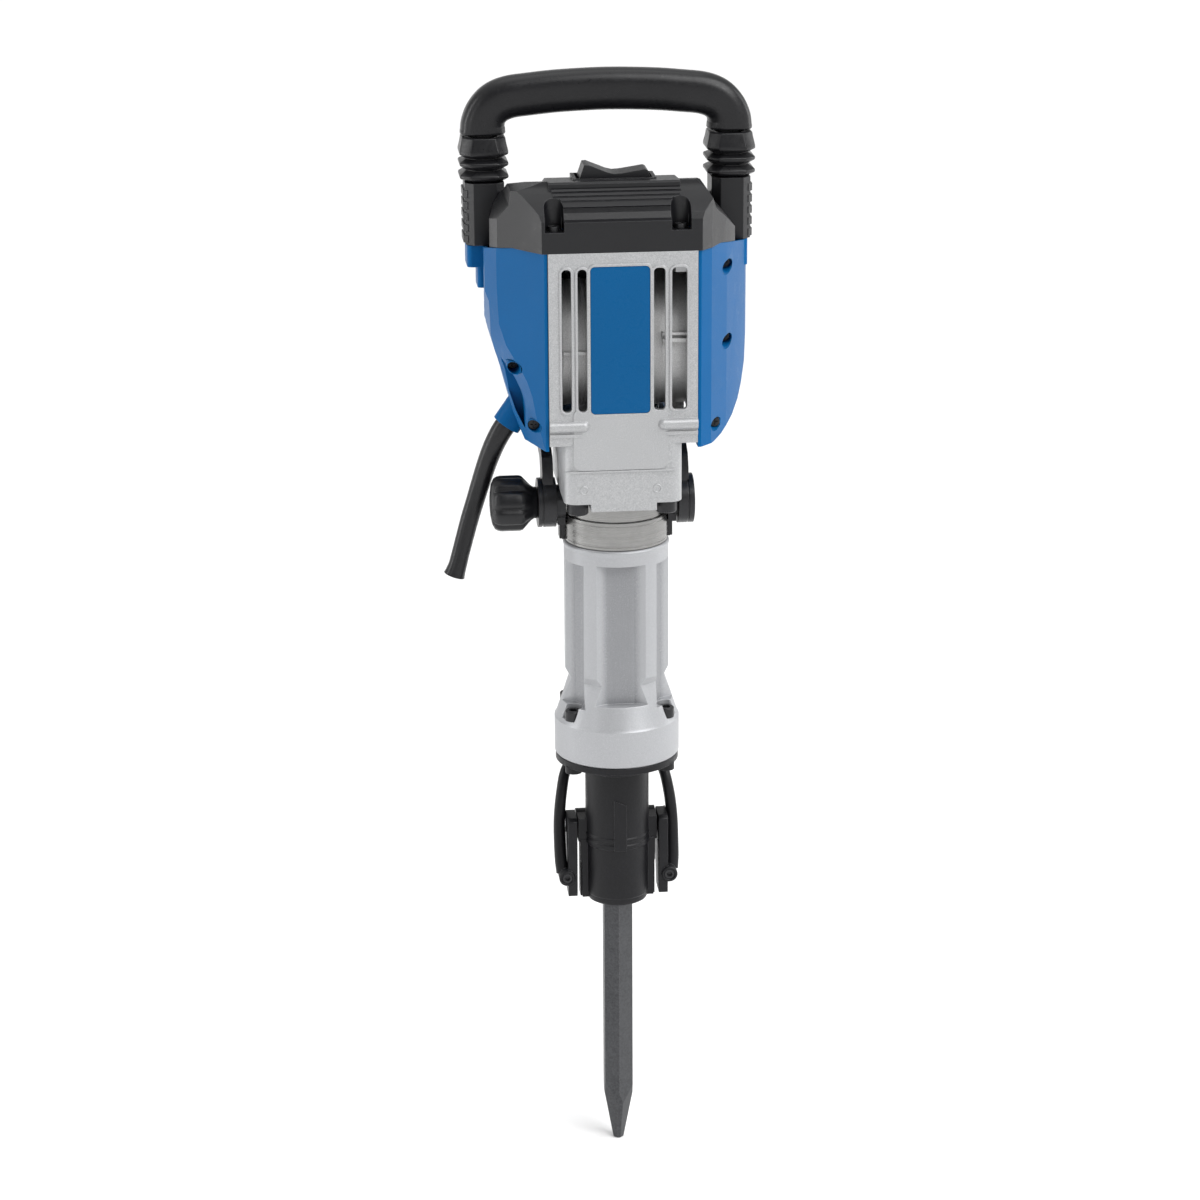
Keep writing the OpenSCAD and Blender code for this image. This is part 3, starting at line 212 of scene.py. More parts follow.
def mat_barrel(name):
    t = NT(name)
    sp = t.noise(1700, 3, 0.7); sp2 = t.noise(760, 4, 0.65); big = t.noise(26, 4, 0.55)
    xyz = t.n("ShaderNodeSeparateXYZ"); t.link(t.co, xyz.inputs[0])
    r2 = t.math('ADD', t.math('MULTIPLY', xyz.outputs[0], xyz.outputs[0]), t.math('MULTIPLY', xyz.outputs[1], xyz.outputs[1]))
    # flute floors, nearer the axis, painted darker than the lands: partly the rougher as-cast finish, partly painted
    # shade in the recesses
    land_vs_shaded_floor = t.rng(t.math('SQRT', r2), 0.0410, 0.0490, 0, 1, True)
    low = t.mix(t.rng(sp, 0.40, 0.62, 0, 1), (0.17, 0.174, 0.182), (0.32, 0.325, 0.34))
    high = t.mix(t.rng(sp, 0.36, 0.58, 0, 1), (0.34, 0.346, 0.36), (0.425, 0.431, 0.445))
    c = t.mix(land_vs_shaded_floor, low, high)
    c = t.mix(t.rng(sp2, 0.56, 0.70, 0, 0.4), c, (0.56, 0.565, 0.58))
    c = t.mix(t.rng(big, 0.35, 0.7, 0.0, 0.16), c, (0.34, 0.345, 0.36))
    # edges painted much lighter: partly worn edges, partly a painted highlight along the flute edges
    c = t.mix(t.math('MULTIPLY', t.edge(0.9), 0.55), c, (0.74, 0.745, 0.75))
    t.bump(sp2, 0.40, 0.14); t.bump(sp, 0.3, 0.06)
    return t.done(c, t.rng(sp, 0.3, 0.7, 0.36, 0.5), 0.45, 0.5)

def mat_plastic(name, col, rough=(0.42, 0.56), grain=1.0, scuff=0.25, spec=0.45, edge_wear_and_highlight=None):
    t = NT(name)
    g = t.voro(1700 * grain)
    g2 = t.noise(900 * grain, 3, 0.6)
    big = t.noise(18, 3, 0.5)
    sc = t.noise(60, 6, 0.7, 0.6)
    c = t.mix(t.rng(big, 0.3, 0.7, 0, 0.22), col, tuple(v * 0.80 for v in col))
    c = t.mix(t.rng(g2, 0.45, 0.7, 0, 0.18), c, tuple(min(1, v * 1.35 + 0.004) for v in col))
    # edges painted in the given edge colour: partly worn edges, partly a painted highlight along them
    e = t.edge(0.7)
    w = edge_wear_and_highlight or tuple(min(1, v * 1.5 + 0.02) for v in col)
    c = t.mix(t.math('MULTIPLY', e, 0.45), c, w)
    t.bump(g, 0.30, 0.05)
    t.bump(g2, 0.15, 0.04)
    r0 = t.rng(g2, 0.3, 0.7, rough[0], rough[1])
    r = t.math('SUBTRACT', r0, t.rng(sc, 0.55, 0.75, 0, 0.10 * scuff * 4))
    return t.done(c, r, 0.0, spec)

def mat_rubber(name, col=(0.0055, 0.0055, 0.0066), rough=(0.26, 0.40)):
    t = NT(name)
    a = t.noise(340, 5, 0.6)
    b = t.noise(2600, 2, 0.5)
    big = t.noise(22, 4, 0.6)
    c = t.mix(t.rng(big, 0.35, 0.68, 0, 0.4), col, tuple(v * 1.5 + 0.003 for v in col))
    c = t.mix(t.rng(a, 0.55, 0.75, 0, 0.25), c, tuple(v * 1.9 + 0.006 for v in col))
    t.bump(b, 0.25, 0.04)
    t.bump(a, 0.16, 0.12)
    r = t.rng(a, 0.3, 0.7, rough[0], rough[1])
    return t.done(c, r, 0.0, 0.36)

def mat_blackcast(name, col=(0.0065, 0.0065, 0.0078)):
    t = NT(name)
    a = t.noise(700, 5, 0.65)
    b = t.voro(420)
    big = t.noise(30, 4, 0.6)
    c = t.mix(t.rng(a, 0.45, 0.68, 0, 0.5), col, tuple(v * 2.1 + 0.003 for v in col))
    c = t.mix(t.rng(big, 0.35, 0.7, 0, 0.35), c, tuple(v * 0.6 for v in col))
    # edges painted grey: partly worn edges, partly a painted highlight along them
    e = t.edge(0.8)
    c = t.mix(t.math('MULTIPLY', e, t.rng(a, 0.42, 0.6, 0.1, 0.7)), c, (0.13, 0.13, 0.14))
    t.bump(a, 0.5, 0.22)
    t.bump(b, 0.25, 0.18)
    r = t.rng(a, 0.3, 0.7, 0.32, 0.50)
    return t.done(c, r, 0.1, 0.27)

def mat_turned(name, base=(0.50, 0.49, 0.47), axis='Z', scale=900, rough=(0.20, 0.36), metal=0.95, tint=0.2):
    t = NT(name)
    k = {'X': (scale, 6, 6), 'Y': (6, scale, 6), 'Z': (6, 6, scale)}[axis]
    v = t.mapping(k)
    g = t.noise(1.0, 3, 0.7, 0, v)
    v2 = t.mapping(tuple(q * 0.22 for q in k))
    g2 = t.noise(1.0, 3, 0.6, 0, v2)
    big = t.noise(34, 4, 0.6)
    c = t.mix(t.rng(g, 0.35, 0.65, 0, 0.5), base, tuple(min(1, q * 1.35) for q in base))
    c = t.mix(t.rng(big, 0.5, 0.75, 0, tint), c, tuple(q * 0.6 for q in base))
    t.bump(g, 0.28, 0.03)
    t.bump(g2, 0.2, 0.05)
    r = t.rng(g2, 0.3, 0.7, rough[0], rough[1])
    return t.done(c, r, metal, 0.5)

def mat_forged(name):
    t = NT(name)
    a = t.noise(420, 6, 0.68, 0.3)
    b = t.noise(1500, 4, 0.65)
    big = t.noise(45, 5, 0.6)
    v = t.mapping((80, 80, 1100)); s = t.noise(1.0, 4, 0.7, 0, v)
    col, lite = (0.038, 0.039, 0.042), (0.085, 0.087, 0.092)
    c = t.mix(t.rng(a, 0.36, 0.64, 0, 0.75), col, lite)
    c = t.mix(t.rng(b, 0.56, 0.72, 0, 0.35), c, (0.13, 0.13, 0.135))
    c = t.mix(t.rng(s, 0.58, 0.76, 0, 0.22), c, (0.028, 0.028, 0.03))
    c = t.mix(t.rng(big, 0.4, 0.7, 0, 0.25), c, (0.10, 0.102, 0.107))
    # painted light: the faces towards +X are painted lighter, as if lit from the right; it is in the colour and stays
    # when the part is turned or relit
    painted_light_normal = t.n("ShaderNodeSeparateXYZ"); t.link(t.geo.outputs["True Normal"], painted_light_normal.inputs[0])
    c = t.mix(t.rng(painted_light_normal.outputs[0], 0.1, 0.6, 0, 0.22), c, (0.15, 0.152, 0.157))
    # edges painted bright: partly worn edges, partly a painted highlight line along the chisel's edges
    e = t.edge(1.5)
    c = t.mix(t.math('MULTIPLY', e, 0.75), c, (0.36, 0.36, 0.37))
    t.bump(a, 0.35, 0.14)
    t.bump(b, 0.3, 0.06)
    r = t.rng(a, 0.3, 0.7, 0.32, 0.50)
    return t.done(c, r, 0.7, 0.5)

def mat_metal(name, base, rough=(0.25, 0.4), metal=0.95, sc=500):
    t = NT(name)
    a = t.noise(sc, 4, 0.6)
    big = t.noise(40, 4, 0.6)
    c = t.mix(t.rng(a, 0.4, 0.66, 0, 0.35), base, tuple(min(1, q * 1.3 + 0.01) for q in base))
    c = t.mix(t.rng(big, 0.5, 0.75, 0, 0.3), c, tuple(q * 0.6 for q in base))
    # edges painted lighter: partly worn edges, partly a painted highlight along them
    e = t.edge(0.5)
    c = t.mix(t.math('MULTIPLY', e, 0.4), c, tuple(min(1, q * 1.8 + 0.05) for q in base))
    t.bump(a, 0.2, 0.05)
    return t.done(c, t.rng(a, 0.3, 0.7, *rough), metal, 0.5)

M = {
    "silver_cast": mat_cast("silver_cast", (0.50, 0.505, 0.51), (0.33, 0.335, 0.345), metal=0.5),
    "barrel_cast": mat_barrel("barrel_cast"),
    "inner_cast": mat_cast("inner_cast", (0.66, 0.66, 0.66), (0.46, 0.46, 0.46), 0.9, metal=0.15),
    "blue_shell": mat_plastic("blue_shell", (0.0, 0.092, 0.268), (0.34, 0.46), 1.0, spec=0.09, edge_wear_and_highlight=(0.03, 0.26, 0.55)),
    "blue_badge": mat_plastic("blue_badge", (0.0, 0.080, 0.225), (0.24, 0.32), 3.2, spec=0.14, edge_wear_and_highlight=(0.02, 0.17, 0.40)),
    "black_plastic": mat_plastic("black_plastic", (0.0060, 0.0062, 0.0076), (0.30, 0.44), 1.0, spec=0.36, edge_wear_and_highlight=(0.15, 0.15, 0.16)),
    "black_rubber": mat_rubber("black_rubber"),
    "black_steel": mat_metal("black_steel", (0.022, 0.022, 0.024), (0.28, 0.42), 0.5),
    "black_cast": mat_blackcast("black_cast"),
    "turned_steel": mat_turned("turned_steel", (0.27, 0.268, 0.262), "Z", 900, (0.20, 0.34), 1.0, 0.35),
    "forged_steel": mat_forged("forged_steel"),
    "machined_steel": mat_turned("machined_steel", (0.46, 0.47, 0.49), 'X', 500, (0.2, 0.35)),
    "gear_steel": mat_metal("gear_steel", (0.28, 0.28, 0.30), (0.25, 0.4)),
    "spring_steel": mat_metal("spring_steel", (0.35, 0.35, 0.36), (0.25, 0.4)),
    "bronze": mat_turned("bronze", (0.52, 0.36, 0.15), 'Z', 700),
    "copper": mat_turned("copper", (0.60, 0.27, 0.13), 'X', 700),
    "lamination": mat_turned("lamination", (0.20, 0.20, 0.21), 'X', 2200, (0.35, 0.5), 0.8),
    "winding": mat_turned("winding", (0.38, 0.12, 0.04), 'X', 1500, (0.3, 0.45), 0.3),
    "carbon": mat_metal("carbon", (0.03, 0.03, 0.032), (0.5, 0.65), 0.2),
}
slot_of = {r["node"]: r["material_slot"] for r in frame["record"]["subparts"]}
body_of = {n: o["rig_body"] for n, o in N.items()}

def set_mat(o, mat):
    o.data.materials.clear()
    o.data.materials.append(mat)
for n, o in N.items():
    set_mat(o, M[slot_of[n]])

# ------------------------------------------------------------------ refine: the CAD shape with real rounded edges
def new_obj(name, me, mat, body):
    o = bpy.data.objects.new(name, me)
    bpy.context.scene.collection.objects.link(o)
    if mat is not None: set_mat(o, mat)
    if body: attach(o, body)
    return o

def shade(o, ang=35):
    for p in o.data.polygons: p.use_smooth = True
    o.data.set_sharp_from_angle(angle=math.radians(ang))

def apply_mods(o):
    dg = bpy.context.evaluated_depsgraph_get()
    me = bpy.data.meshes.new_from_object(o.evaluated_get(dg), depsgraph=dg)
    o.modifiers.clear()
    o.data = me

def refine(node, w=0.8, seg=2, ang=30, dissolve=True, smooth_ang=35, mat=None, name=None):
    """a copy of the CAD node with its sharp edges rounded"""
    src = N[node]
    bm = bmesh.new(); bm.from_mesh(src.data)
    bmesh.ops.remove_doubles(bm, verts=bm.verts, dist=2e-6)
    if dissolve:
        bmesh.ops.dissolve_limit(bm, angle_limit=math.radians(0.6), verts=bm.verts, edges=bm.edges, delimit={'NORMAL'})
        bmesh.ops.dissolve_degenerate(bm, edges=bm.edges, dist=1e-6)
    me = bpy.data.meshes.new(name or node + "_detail")
    bm.to_mesh(me); bm.free()
    o = new_obj(name or node + "_detail", me, mat or M[slot_of[node]], body_of[node])
    if w > 0:
        b = o.modifiers.new("bevel", 'BEVEL')
        b.width = w * MM; b.segments = seg; b.limit_method = 'ANGLE'; b.angle_limit = math.radians(ang)
        b.miter_outer = 'MITER_ARC'; b.use_clamp_overlap = True; b.harden_normals = False
        apply_mods(o)
        set_mat(o, mat or M[slot_of[node]])
    shade(o, smooth_ang)
    wn = o.modifiers.new("weighted", 'WEIGHTED_NORMAL'); wn.keep_sharp = True; wn.weight = 80
    apply_mods(o); set_mat(o, mat or M[slot_of[node]])
    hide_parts(node)
    return o

for n, o in N.items():
    shade(o, 32)

# ------------------------------------------------------------------ floor and light
def stage():
    bpy.context.scene.view_settings.view_transform = 'Standard'
    me = bpy.data.meshes.new("floor")
    bm = bmesh.new(); bmesh.ops.create_grid(bm, x_segments=1, y_segments=1, size=45); bm.to_mesh(me); bm.free()
    fl = bpy.data.objects.new("floor", me); bpy.context.scene.collection.objects.link(fl)
    fl.location = (0, 0, CAD_BOX[0][2] - 0.0006)
    t = NT("floor_pale")
    a = t.noise(3, 3)
    t.done(t.mix(t.rng(a, 0.3, 0.7, 0, 1), (0.90, 0.90, 0.90), (0.91, 0.91, 0.91)), 0.8, 0, 0.1)
    set_mat(fl, t.m)
    w = bpy.data.worlds.new("world"); bpy.context.scene.world = w
    w.use_nodes = True
    wt = w.node_tree; bg = wt.nodes["Background"]
    # a studio tent: dim behind the camera, brighter overhead, at the sides and behind
    tc = wt.nodes.new("ShaderNodeTexCoord"); sp = wt.nodes.new("ShaderNodeSeparateXYZ")
    wt.links.new(tc.outputs["Generated"], sp.inputs[0])
    def ramp(sock, a, b, c, d):
        m = wt.nodes.new("ShaderNodeMapRange"); m.interpolation_type = 'SMOOTHSTEP'
        for k, v in (("From Min", a), ("From Max", b), ("To Min", c), ("To Max", d)): m.inputs[k].default_value = v
        wt.links.new(sock, m.inputs["Value"]); return m.outputs[0]
    def op(kind, a, b):
        m = wt.nodes.new("ShaderNodeMath"); m.operation = kind
        for k, v in enumerate((a, b)):
            if isinstance(v, (int, float)): m.inputs[k].default_value = v
            else: wt.links.new(v, m.inputs[k])
        return m.outputs[0]
    dim = op('MULTIPLY', ramp(sp.outputs["Y"], -0.80, -0.10, 0.72, 0.12), ramp(sp.outputs["Z"], 0.20, 0.38, 0.0, 1.0))
    front = op('SUBTRACT', 0.72, op('MULTIPLY', dim, 0.85))
    top = ramp(sp.outputs["Z"], 0.30, 0.95, 0.0, 0.62)
    right = ramp(sp.outputs["X"], 0.3, 0.95, 0.0, 0.12)
    horizon = ramp(op('ABSOLUTE', sp.outputs["Z"], 0.0), 0.06, 0.26, 0.52, 0.0)
    wt.links.new(op('ADD', op('MULTIPLY', op('ADD', op('ADD', front, top), right), 0.62), horizon), bg.inputs["Strength"])
    bg.inputs["Color"].default_value = (1, 1, 1, 1)
    def area(name, loc, target, size, power, sy=None, col=(1, 1, 1)):
        ld = bpy.data.lights.new(name, 'AREA'); ld.energy = power; ld.size = size; ld.color = col
        if sy: ld.shape = 'RECTANGLE'; ld.size_y = sy
        lo = bpy.data.objects.new(name, ld); bpy.context.scene.collection.objects.link(lo)
        lo.location = loc
        lo.rotation_euler = (Vector(target) - Vector(loc)).to_track_quat('-Z', 'Y').to_euler()
    sd = bpy.data.lights.new("soft_sun", 'SUN'); sd.energy = 2.5; sd.angle = math.radians(50)
    so = bpy.data.objects.new("soft_sun", sd); bpy.context.scene.collection.objects.link(so)
    so.rotation_euler = Vector((-1.25, 1.25, -1.9)).to_track_quat('-Z', 'Y').to_euler()
    area("key", (1.7, -1.9, 2.0), (0, 0, 0.45), 0.5, 9, 1.3)
    area("fill", (-1.9, -1.5, 1.3), (0, 0, 0.4), 0.4, 5, 1.6)
    area("top", (0, 0.5, 2.6), (0, 0, 0.6), 1.4, 5)
    area("rim_l", (-1.8, 0.1, 0.9), (0, 0, 0.45), 0.35, 11, 1.8)
    area("rim_r", (1.8, 0.6, 0.9), (0, 0, 0.45), 0.35, 8, 1.8)
stage()

# ------------------------------------------------------------------ mesh building helpers
def V(*a): return Vector(a)
def crom(p, k):
    p = [Vector(q) for q in p]; out = []
    for i in range(len(p) - 1):
        a, b, c, d = p[max(0, i - 1)], p[i], p[i + 1], p[min(len(p) - 1, i + 2)]
        for j in range(k):
            t = j / k
            out.append(0.5 * (2 * b + (c - a) * t + (2 * a - 5 * b + 4 * c - d) * t * t + (3 * b - a - 3 * c + d) * t ** 3))
    return out + [p[-1]]

def frames(c, u0):
    n = len(c)
    d = [(c[min(n - 1, i + 1)] - c[max(0, i - 1)]).normalized() for i in range(n)]
    u = [(Vector(u0) - d[0] * d[0].dot(Vector(u0))).normalized()]
    for i in range(1, n):
        q = u[-1] - d[i] * d[i].dot(u[-1]); u.append(q.normalized())
    return [(d[i], u[i], d[i].cross(u[i])) for i in range(n)]

def add_rings(bm, rings, caps=True, loop=False):
    vs = [[bm.verts.new(Vector(p) * MM) for p in r] for r in rings]
    m, n = len(vs), len(vs[0])
    for i in range(m if loop else m - 1):
        a, b = vs[i], vs[(i + 1) % m]
        for j in range(n):
            bm.faces.new((a[j], a[(j + 1) % n], b[(j + 1) % n], b[j]))
    if caps and not loop:
        bm.faces.new(list(reversed(vs[0]))); bm.faces.new(vs[-1])
    return vs

def sq(c, ex): return math.copysign(abs(c) ** ex, c)
def sweep_rings(ctrl, u0, ra, rb, n=32, ex=1.0, k=6, ph=0.5):
    c = crom(ctrl, k); fr = frames(c, u0); m = len(c)
    out = []
    for i in range(m):
        t = i / (m - 1); d, u, v = fr[i]
        A = ra(t) if callable(ra) else ra; B = rb(t) if callable(rb) else rb
        out.append([c[i] + u * A * sq(math.cos(q), ex) + v * B * sq(math.sin(q), ex) for q in [2 * math.pi * (j + ph) / n for j in range(n)]])
    return out, fr, c

def finish_bm(bm, name, mat, body, ang=35, bevel=0, seg=2, bang=30):
    bmesh.ops.recalc_face_normals(bm, faces=bm.faces)
    me = bpy.data.meshes.new(name); bm.to_mesh(me); bm.free()
    o = new_obj(name, me, mat, body)
    if bevel:
        b = o.modifiers.new("bevel", 'BEVEL'); b.width = bevel * MM; b.segments = seg
        b.limit_method = 'ANGLE'; b.angle_limit = math.radians(bang); b.use_clamp_overlap = True; b.miter_outer = 'MITER_ARC'
        apply_mods(o); set_mat(o, mat)
    shade(o, ang)
    return o

def add_prism(bm, poly, axis, lo, hi):
    """outline in the plane across axis: X -> (Y,Z), Y -> (X,Z), Z -> (X,Y)"""
    def p3(p, h):
        return {'X': (h, p[0], p[1]), 'Y': (p[0], h, p[1]), 'Z': (p[0], p[1], h)}[axis]
    a = [bm.verts.new(Vector(p3(p, lo)) * MM) for p in poly]
    b = [bm.verts.new(Vector(p3(p, hi)) * MM) for p in poly]
    n = len(poly)
    for j in range(n): bm.faces.new((a[j], a[(j + 1) % n], b[(j + 1) % n], b[j]))
    bm.faces.new(list(reversed(a))); bm.faces.new(b)

def add_lathe(bm, prof, axis='Z', c=(0, 0, 0), n=48, rfun=None):
    """profile of (radius, height) pairs, both ends on the axis or closed by caps"""
    rings = []
    for r, h in prof:
        ring = []
        for j in range(n):
            q = 2 * math.pi * j / n; rr = rfun(r, h, q) if rfun else r
            a, b = rr * math.cos(q), rr * math.sin(q)
            p = {'Z': (a, b, h), 'X': (h, a, b), 'Y': (b, h, a)}[axis]
            ring.append(Vector(p) + Vector(c))
        rings.append(ring)
    add_rings(bm, rings)

def arc(cx, cy, r, a0, a1, n=6):
    return [(cx + r * math.cos(math.radians(a0 + (a1 - a0) * i / n)), cy + r * math.sin(math.radians(a0 + (a1 - a0) * i / n))) for i in range(n + 1)]
def round_poly(pts, r, n=5):
    """outline with each corner rounded; r may be one radius or one per corner"""
    out = []; m = len(pts)
    for i in range(m):
        p0, p1, p2 = Vector((*pts[i - 1], 0)), Vector((*pts[i], 0)), Vector((*pts[(i + 1) % m], 0))
        ri = r[i] if isinstance(r, (list, tuple)) else r
        a, b = (p0 - p1), (p2 - p1)
        la, lb = a.length, b.length; a.normalize(); b.normalize()
        ang = a.angle(b)
        if ri <= 0 or ang > math.radians(178): out.append((p1.x, p1.y)); continue
        t = min(ri / math.tan(ang / 2), la * 0.49, lb * 0.49)
        s, e = p1 + a * t, p1 + b * t
        for j in range(n + 1):
            u = j / n
            q = s * (1 - u) ** 2 + p1 * 2 * u * (1 - u) + e * u * u
            out.append((q.x, q.y))
    return out

# ------------------------------------------------------------------ handle grip, moulded rubber over a bar
LEG_X, LEG_Y, GRIP_Z = 119.5, 73.0, 806.0
def make_grip():
    gh = [(LEG_X, 765), (LEG_X, 768.5), (LEG_X - 0.5, 776), (LEG_X - 4.5, 786), (LEG_X - 13, 794.5), (LEG_X - 26, 799.6), (LEG_X - 45, 802), (LEG_X - 75, 804.6), (0, GRIP_Z)]
    ctrl = [(x, LEG_Y, z) for x, z in gh] + [(-x, LEG_Y, z) for x, z in reversed(gh[:-1])]
    def rb(t):
        t = abs(2 * t - 1)
        return 22.0 if t > 0.9 else (22.0 - (0.9 - t) / 0.28 * 1.9 if t > 0.62 else 20.1)
    def ra(t):
        return 17.8
    rings, fr, c = sweep_rings(ctrl, (0, 1, 0), ra, rb, 64, 0.74, 10)
    # rolled lip at both ends and a hollow mouth round the core
    def scaled(ring, cc, s, d): return [cc + (p - cc) * s + d for p in ring]
    e0, e1 = fr[0][0], fr[-1][0]
    head = [scaled(rings[0], c[0], 0.62, e0 * 1.2), scaled(rings[0], c[0], 0.66, e0 * 0.1), scaled(rings[0], c[0], 0.90, e0 * 0.0), scaled(rings[0], c[0], 0.975, e0 * 0.6), scaled(rings[0], c[0], 1.0, e0 * 1.8)]
    tail = [scaled(rings[-1], c[-1], 1.0, -e1 * 1.8), scaled(rings[-1], c[-1], 0.975, -e1 * 0.6), scaled(rings[-1], c[-1], 0.90, e1 * 0.0), scaled(rings[-1], c[-1], 0.66, -e1 * 0.1), scaled(rings[-1], c[-1], 0.62, -e1 * 1.2)]
    keep = [r for r, q in zip(rings, c) if (q - c[0]).length > 3 and (q - c[-1]).length > 3]
    bm = bmesh.new(); add_rings(bm, head + keep + tail)
    o = finish_bm(bm, "grip_sleeve", M["black_rubber"], "top_handle", 50)
    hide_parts("handle_grip")
make_grip()

# ------------------------------------------------------------------ bellows
def octo(w, d, c, x, y, z):
    return [V(x - w/2 + c, y - d/2, z), V(x + w/2 - c, y - d/2, z), V(x + w/2, y - d/2 + c, z), V(x + w/2, y + d/2 - c, z),
            V(x + w/2 - c, y + d/2, z), V(x - w/2 + c, y + d/2, z), V(x - w/2, y + d/2 - c, z), V(x - w/2, y - d/2 + c, z)]
BEL = [(763.3, 41.6, 45.6), (757, 43.8, 47.8), (750.4, 46.9, 51.9), (747.4, 46.9, 51.9), (743, 34, 40), (739.5, 46.9, 51.9), (736.7, 46.9, 51.9), (731.9, 34, 40), (727.3, 46.9, 51.9), (724.5, 46.9, 51.9), (720.8, 36, 42)]
def make_bellows(s, node):
    outer = [octo(w, d, 10, s * LEG_X, LEG_Y, z) for z, w, d in BEL]
    inner = [octo(min(w, 34) - 6, min(d, 40) - 6, 8, s * LEG_X, LEG_Y, z) for z, w, d in reversed(BEL)]
    bm = bmesh.new(); add_rings(bm, outer + inner, loop=True)
    o = finish_bm(bm, node + "_detail", M["black_rubber"], None, 30, bevel=0.9, seg=3, bang=12)
    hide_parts(node)
    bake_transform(o)
make_bellows(-1, "bellows_left"); make_bellows(1, "bellows_right")

# ------------------------------------------------------------------ cord guard with a flared open mouth
def make_guard():
    gd = [(-105.5,14,491.1),(-107.8,14.2,487.8),(-112.3,15.2,480),(-118,17.6,467.5),(-124,21.4,450.5),(-129.5,25.4,432),(-135,27,413.5),(-140.8,26.6,395.2),(-146,25.5,377),(-150.9,24,359.5),(-153.9,23,348.6),(-156.1,23,342),(-157.7,23,337.4)]
    gr = [10.5,10.5,10.4,10.1,9.7,9.4,9.1,9.0,8.9,8.8,9.0,9.7,10.6]
    k = 6
    def R(t):
        x = t * (len(gd) - 1); i = min(int(x), len(gd) - 2); f = x - i
        return gr[i] * (1 - f) + gr[i + 1] * f
    rings, fr, c = sweep_rings(gd, (0, 1, 0), R, R, 40, 1.0, k)
    d, u, v = fr[-1]; e = c[-1]
    def ring(r, h): return [e + d * h + u * r * math.cos(q) + v * r * math.sin(q) for q in [2 * math.pi * (j + 0.5) / 40 for j in range(40)]]
    mouth = [ring(10.4, -0.2), ring(9.7, 0.0), ring(6.4, 0.0), ring(5.5, -0.5), ring(5.0, -1.6), ring(5.0, -25.8), ring(0.4, -26)]
    bm = bmesh.new(); add_rings(bm, rings[:-1] + [ring(10.6, -0.8)] + mouth)
    o = finish_bm(bm, "cord_guard_boot", M["black_rubber"], "housing", 45)
    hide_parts("cord_guard")
make_guard()

# ------------------------------------------------------------------ retainer lever: forged cheeks, bosses and the U bar
def make_lever():
    half = [(55.5,0,27),(56.8,4,40),(57.2,9,56),(57.2,13,74),(56,16,92),(53.4,20,110),(50,26,124),(44,34,132),(34,41,136),(18,45,137.5),(0,46,138)]
    ctrl = half + [(-x, y, z) for x, y, z in reversed(half[:-1])]
    def ra(t): return 4.8 + 1.45 * abs(2 * t - 1)
    def rb(t): return 6.55 - 0.8 * math.sin(t * math.pi)
    rings, fr, c = sweep_rings(ctrl, (1, 0, 0), ra, rb, 28, 0.86, 6)
    bm = bmesh.new(); add_rings(bm, rings)
    cheek = round_poly([(-10,84.5),(-5,87),(20,87.4),(32.2,75),(25,44),(14,6),(-10,4),(-12,50)], [3,3,8,10,10,3,3,4], 5)
    for s in (-1, 1):
        lo, hi = (41.1, 50.3) if s > 0 else (-50.3, -41.1)
        add_prism(bm, cheek, 'X', lo, hi)
        # hub ring round the cross shaft
        add_lathe(bm, [(8.2, 50.2), (8.2, 51.2), (11.2, 51.2), (12.2, 50.2)] if s > 0 else [(12.2, -50.2), (11.2, -51.2), (8.2, -51.2), (8.2, -50.2)], 'X', (0, 20, 75), 40)
        # screw boss: a thick eye with a sunk face
        add_lathe(bm, [(0.3, 10.6), (7.0, 10.6), (8.2, 9.4), (8.2, -12.6), (7.2, -13.9), (5.9, -13.9), (5.2, -13.2), (5.15, -8.3), (0.3, -8.3)], 'Y', (s * 51.6, 0, 25.5), 40)
    o = finish_bm(bm, "retainer_lever_detail", M["black_cast"], "retainer", 40, bevel=0.7, seg=2, bang=40)
    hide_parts("retainer_lever")
make_lever()

# ------------------------------------------------------------------ lobed clamp knob
def make_knob():
    b = np.array(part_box("clamp_knob")) * 1000
    cy, cz = (b[0][1] + b[1][1]) / 2, (b[0][2] + b[1][2]) / 2
    prof = [(0.3, -101), (4.05, -101), (4.05, -77.5), (15.0, -77.5), (15.4, -78.0), (15.4, -80.5), (17.4, -83.4), (20, -86), (24.4, -90), (26.4, -92), (27.1, -95),
            (27.1, -100), (27.1, -107), (27.1, -112.6), (26.4, -116), (24.6, -118.9), (20, -121.3), (13, -122.5), (12.2, -121.9), (11.2, -121.9), (10.2, -122.8), (5, -123.2), (0.3, -123.3)]
    def rf(r, h, q):
        if r < 18: return r
        k = min(1, (r - 18) / 8)
        return r - 3.0 * k * max(0.0, math.cos(8 * q)) ** 2.2
    bm = bmesh.new(); add_lathe(bm, prof, 'X', (0, cy, cz), 128, rf)
    o = finish_bm(bm, "knob_lobes", M["black_plastic"], body_of["clamp_knob"], 40)
    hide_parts("clamp_knob")
make_knob()

# ------------------------------------------------------------------ side grip: ribbed rubber between two collars
def make_side_grip():
    prof = [(9.02, -58), (16.4, -58), (17.4, -57.4), (18.6, -55.4), (19, -54.4), (19, -50.6), (18.4, -49.4), (16.4, -46.4), (15.6, -45)]
    x = -43.0
    while x < 41.5:
        prof += [(15.5, x), (16.5, x + 0.7), (16.6, x + 2.0), (15.6, x + 2.8)]
        x += 4.1
    prof += [(15.6, 43.4), (16.4, 44.4), (18.4, 47.4), (19, 48.6), (19, 52.4), (18.6, 53.4), (17.4, 55.4), (16.4, 56), (9.02, 56)]
    n = 56; rings = [[V(h, 178 + r * math.cos(2 * math.pi * j / n), 504 + r * math.sin(2 * math.pi * j / n)) for j in range(n)] for r, h in prof]
    bm = bmesh.new(); add_rings(bm, rings, loop=True)
    o = finish_bm(bm, "side_grip_sleeve", M["black_rubber"], body_of["aux_grip"], 50)
    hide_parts("aux_grip")
make_side_grip()

